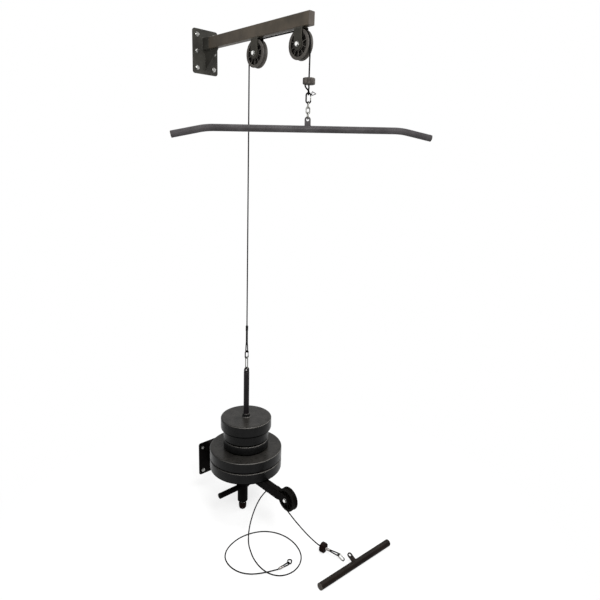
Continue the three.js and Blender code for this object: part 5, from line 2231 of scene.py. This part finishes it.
@dataclass
class FootPost:
    """The leg under the lower arm with its foot rest and levelling foot.

    Attributes:
        out: How far out the leg stands.
        top: Height of its top.
        radius: Radius of the leg.
        wall: Thickness of its wall.
        bore: Radius of the hole for the stud.
        rest_drop: From the leg's top to the rest.
        foot_at: Height of the leg's lower end.
        floor: Height of the floor.
        neck: From the leg's end to the moulded knob.
        stud: Radius of the stud's root.
        knob: Radius of the knob.
    """

    out: float = -321.0
    top: float = -2098.3
    radius: float = 27.0
    wall: float = 3.0
    bore: float = 12.3
    length: float = 164.0
    rest_drop: float = 77.0
    rest_radius: float = 14.5
    rest_length: float = 300.0
    foot_at: float = -2262.3
    floor: float = -2313.0
    neck: float = 14.0
    stud: float = 11.0
    knob: float = 20.5

    def build(self) -> None:
        """Make the leg, the rest and the foot."""
        self.build_leg()
        self.build_foot()

    def build_leg(self) -> None:
        """The tube, closed round the stud and drilled for the rest, and the cross bar."""
        r, low, inside, seat = self.radius, -self.length, self.radius - self.wall, self.rest_drop
        floor = low + self.neck
        tube = [
            (inside, 0), (r, 0), (r, low), (self.bore, low), (self.bore, floor), (inside, floor)
        ]
        form = Form().ring(tube, 1.4, 3, 64)
        hole = self.rest_radius + 0.3
        section = [(hole, 22.5), (hole + 3.7, 22.5), (hole + 3.7, 28.5), (hole, 28.5)]
        for side in (-1, 1):
            form.ring(section, 0.8, 2, 40, standing(0, 0, -seat) @ turned(side * 90, "Y"))
        around = [(x, y, 0) for x, y in circle(r - 1, 40) if abs(x) < 15]
        for side in (-1, 1):
            seam = sorted((p for p in around if p[1] * side > 0), key=lambda p: p[0])
            form.weld(seam, 1.6, BLACK_COAT, at=standing(0, 0, -1.9))
        at = standing(0, self.out, self.top)
        form.piece("foot_leg_tube", (BLACK_COAT,), at, "frame", "foot_leg")
        half = self.rest_length / 2
        at = standing(0, self.out, self.top - seat)
        Form().disc(self.rest_radius, -half, half, 40, ALONG_X, 2.0, 4).piece(
            "foot_rest_tube", (BLACK_COAT,), at, "frame", "foot_rest_bar"
        )

    def build_foot(self) -> None:
        """The threaded stud and the moulded knob on the floor."""
        neck, r = -self.neck, self.knob
        height = self.foot_at + neck - self.floor
        form = Form().disc(self.stud + 0.2, neck - 1, 36, 40, cover=1)
        start = standing(0, 0, neck)
        form.thread(self.stud, self.stud + 1, (0.8, 1.1), 1.9, 26, 40, start, cover=1)
        outline = [
            (0, neck), (r - 3, neck), (r, neck - 3), (r, neck - height * 0.55),
            (r * 0.9, neck - height * 0.85), (r * 0.62, neck - height), (0, neck - height),
        ]
        form.lathe(eased(outline, 4.0, 5, False), 96, flutes=8, depth=1.0)
        at = standing(0, self.out, self.foot_at)
        form.piece("levelling_foot_moulded", (RUBBER, ZINC), at, "foot", "levelling_foot", sharp=50)


# Studio


@dataclass
class Studio:
    """A pale floor, a white background and soft lamps.

    Attributes:
        floor: Height of the floor, in metres.
        ambient: Strength of the even light.
        aim: What the lamps point at.
        lamps: Name, place, size in metres and power of each lamp.
        reach: Where on the floor the shadow's share starts and ends to fade, in metres.
        fade: Least share of white in the seen floor.
    """

    floor: float = -2.3131
    ambient: float = 0.22
    aim: Point = (0.0, -0.5, -1.15)
    lamps: tuple[tuple[str, Point, float, float], ...] = (
        ("key", (-0.6, -2.8, 0.8), 1.0, 75.0),
        ("side", (-2.3, -2.0, 0.3), 1.1, 45.0),
        ("top", (0.1, -0.9, 6.0), 3.0, 330.0),
        ("right", (3.0, -1.3, 0.4), 1.6, 45.0),
    )
    reach: Flat = (0.7, 1.5)
    fade: float = 0.75

    def build(self) -> None:
        """Make the studio."""
        bpy.context.scene.view_settings.view_transform = "Standard"
        self.build_world()
        self.build_floor()
        for name, place, size, power in self.lamps:
            light = bpy.data.lights.new(f"{name}_softbox", "AREA")
            light.size, light.energy = size, power
            made = bpy.data.objects.new(f"{name}_softbox", light)
            made.location = place
            aim = Vector(self.aim) - Vector(place)
            made.rotation_euler = aim.to_track_quat("-Z", "Y").to_euler()
            bpy.context.scene.collection.objects.link(made)

    def _seen(self, add: Add) -> Node:
        """1 where the camera, or a glossy or transmitted ray, looks at a background.

        Args:
            add: Adds a node to the tree.

        Returns:
            The node.
        """
        rays = add("ShaderNodeLightPath").outputs
        inputs = {0: rays["Is Camera Ray"], 1: rays["Is Glossy Ray"]}
        either = add("ShaderNodeMath", inputs, operation="MAXIMUM")
        inputs = {0: either, 1: rays["Is Transmission Ray"]}
        return add("ShaderNodeMath", inputs, operation="MAXIMUM")

    def build_world(self) -> None:
        """White where it is seen, an even soft light elsewhere."""
        world = bpy.data.worlds.new("white_studio")
        world.use_nodes = True
        world.node_tree.nodes.clear()
        add = partial(add_node, world.node_tree)
        soft = add("ShaderNodeBackground", {"Color": linear("FFFDFA"), "Strength": self.ambient})
        white = add("ShaderNodeBackground", {"Color": linear("FFFFFF"), "Strength": 1.0})
        both = add("ShaderNodeMixShader", {0: self._seen(add), 1: soft, 2: white})
        add("ShaderNodeOutputWorld", {"Surface": both})
        bpy.context.scene.world = world

    def build_floor(self) -> None:
        """A round pale floor that keeps the shadow and fades into the background."""
        mesh = bpy.data.meshes.new("studio_floor")
        shape = bmesh.new()
        bmesh.ops.create_circle(shape, cap_ends=True, segments=96, radius=9.0)
        shape.to_mesh(mesh)
        shape.free()
        mesh.transform(standing(0, self.aim[1], self.floor))
        made = bpy.data.objects.new("studio_floor", mesh)
        bpy.context.scene.collection.objects.link(made)
        paper = bpy.data.materials.new("pale_floor_paper")
        paper.use_nodes = True
        paper.node_tree.nodes.clear()
        add = partial(add_node, paper.node_tree)
        matt = add("ShaderNodeBsdfDiffuse", {"Color": linear("F6F6F6"), "Roughness": 0.6})
        white = add("ShaderNodeEmission", {"Color": linear("FFFFFF"), "Strength": 1.0})
        where = add("ShaderNodeTexCoord").outputs["Object"]
        inputs = {0: where, 1: (0.0, -0.6, self.floor)}
        away = add("ShaderNodeVectorMath", inputs, operation="DISTANCE").outputs["Value"]
        inputs = {0: away, 1: self.reach[0], 2: self.reach[1], 3: self.fade}
        fade = add("ShaderNodeMapRange", inputs, interpolation_type="SMOOTHSTEP")
        share = add("ShaderNodeMath", {0: fade, 1: self._seen(add)}, operation="MULTIPLY")
        both = add("ShaderNodeMixShader", {0: share, 1: matt, 2: white})
        add("ShaderNodeOutputMaterial", {"Surface": both})
        mesh.materials.append(paper)
        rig.stage(made)


# Assembly


def main() -> None:
    """Build every sub-assembly in order and write the two boxes."""
    logging.basicConfig(level=logging.INFO, format="%(name)s %(message)s", stream=sys.stdout)
    PhotoCamera().place()
    cables = Cables()
    floor_ends = FloorEnds(
        cables,
        hook=axes(
            (0.12273, -0.52325, 0.8433), (0.97358, 0.22835, 0), (-0.19257, 0.82102, 0.53744),
            (114.4377, -938.6638, -2295.3256),
        ),
        ring=axes(
            (-0.65606, 0.75471, 0), (-0.17618, -0.15315, -0.97237), (-0.73386, -0.63793, 0.23344),
            (-81.9648, -792.9176, -2305.1246),
        ),
        bar=axes(
            (0.99889, -0.04711, 0), (0.01991, 0.42215, -0.90631), (0.04269, 0.9053, 0.42262),
            (138, -1011, -2296.5),
        ),
    )
    cables.build_loose(floor_ends.build_loop_end(), floor_ends.build_front_end())
    cables.build_held()
    upper = WallMount("upper", 0.0, 34.0, 3, BLACK_COAT_PAINTED_LIGHTER)
    lower = WallMount("lower", -2143.0, 70.0, 2, BLACK_COAT)
    for mount in (upper, lower):
        mount.build()
    for mount, end, coat in ((upper, 727.0, BROWN_COAT), (lower, 618.5, BLACK_COAT)):
        arm_at = mount.height_at + mount.arm_rise
        Arm(mount.name, arm_at, end, coat, capped=mount is upper).build()
    reach = PulleySet.reach
    for name, (out, height) in (("rear", cables.rear_axle), ("front", cables.front_axle)):
        PulleySet(name, standing(0, out, height + reach), ARM_COAT_PAINTED_DARKER).build()
    out, height = cables.low_axle
    forwards = axes((1, 0, 0), (0, 0, -1), (0, 1, 0), (0, out + reach, height))
    PulleySet("low", forwards, BLACK_COAT, NYLON_PAINTED_DARKER).build()
    WeightStack(cables.rear_out).build()
    RearHanger(cables.rear_out).build()
    LatHanger(cables.front_out).build()
    floor_ends.build_bar()
    FootPost().build()
    Studio().build()
    boxes = {"cad": CAD_BOX, "visual": [list(corner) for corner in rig.bounds()]}
    with open("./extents.json", "w", encoding="utf-8") as out_file:
        json.dump(boxes, out_file)


if __name__ == "__main__":
    main()
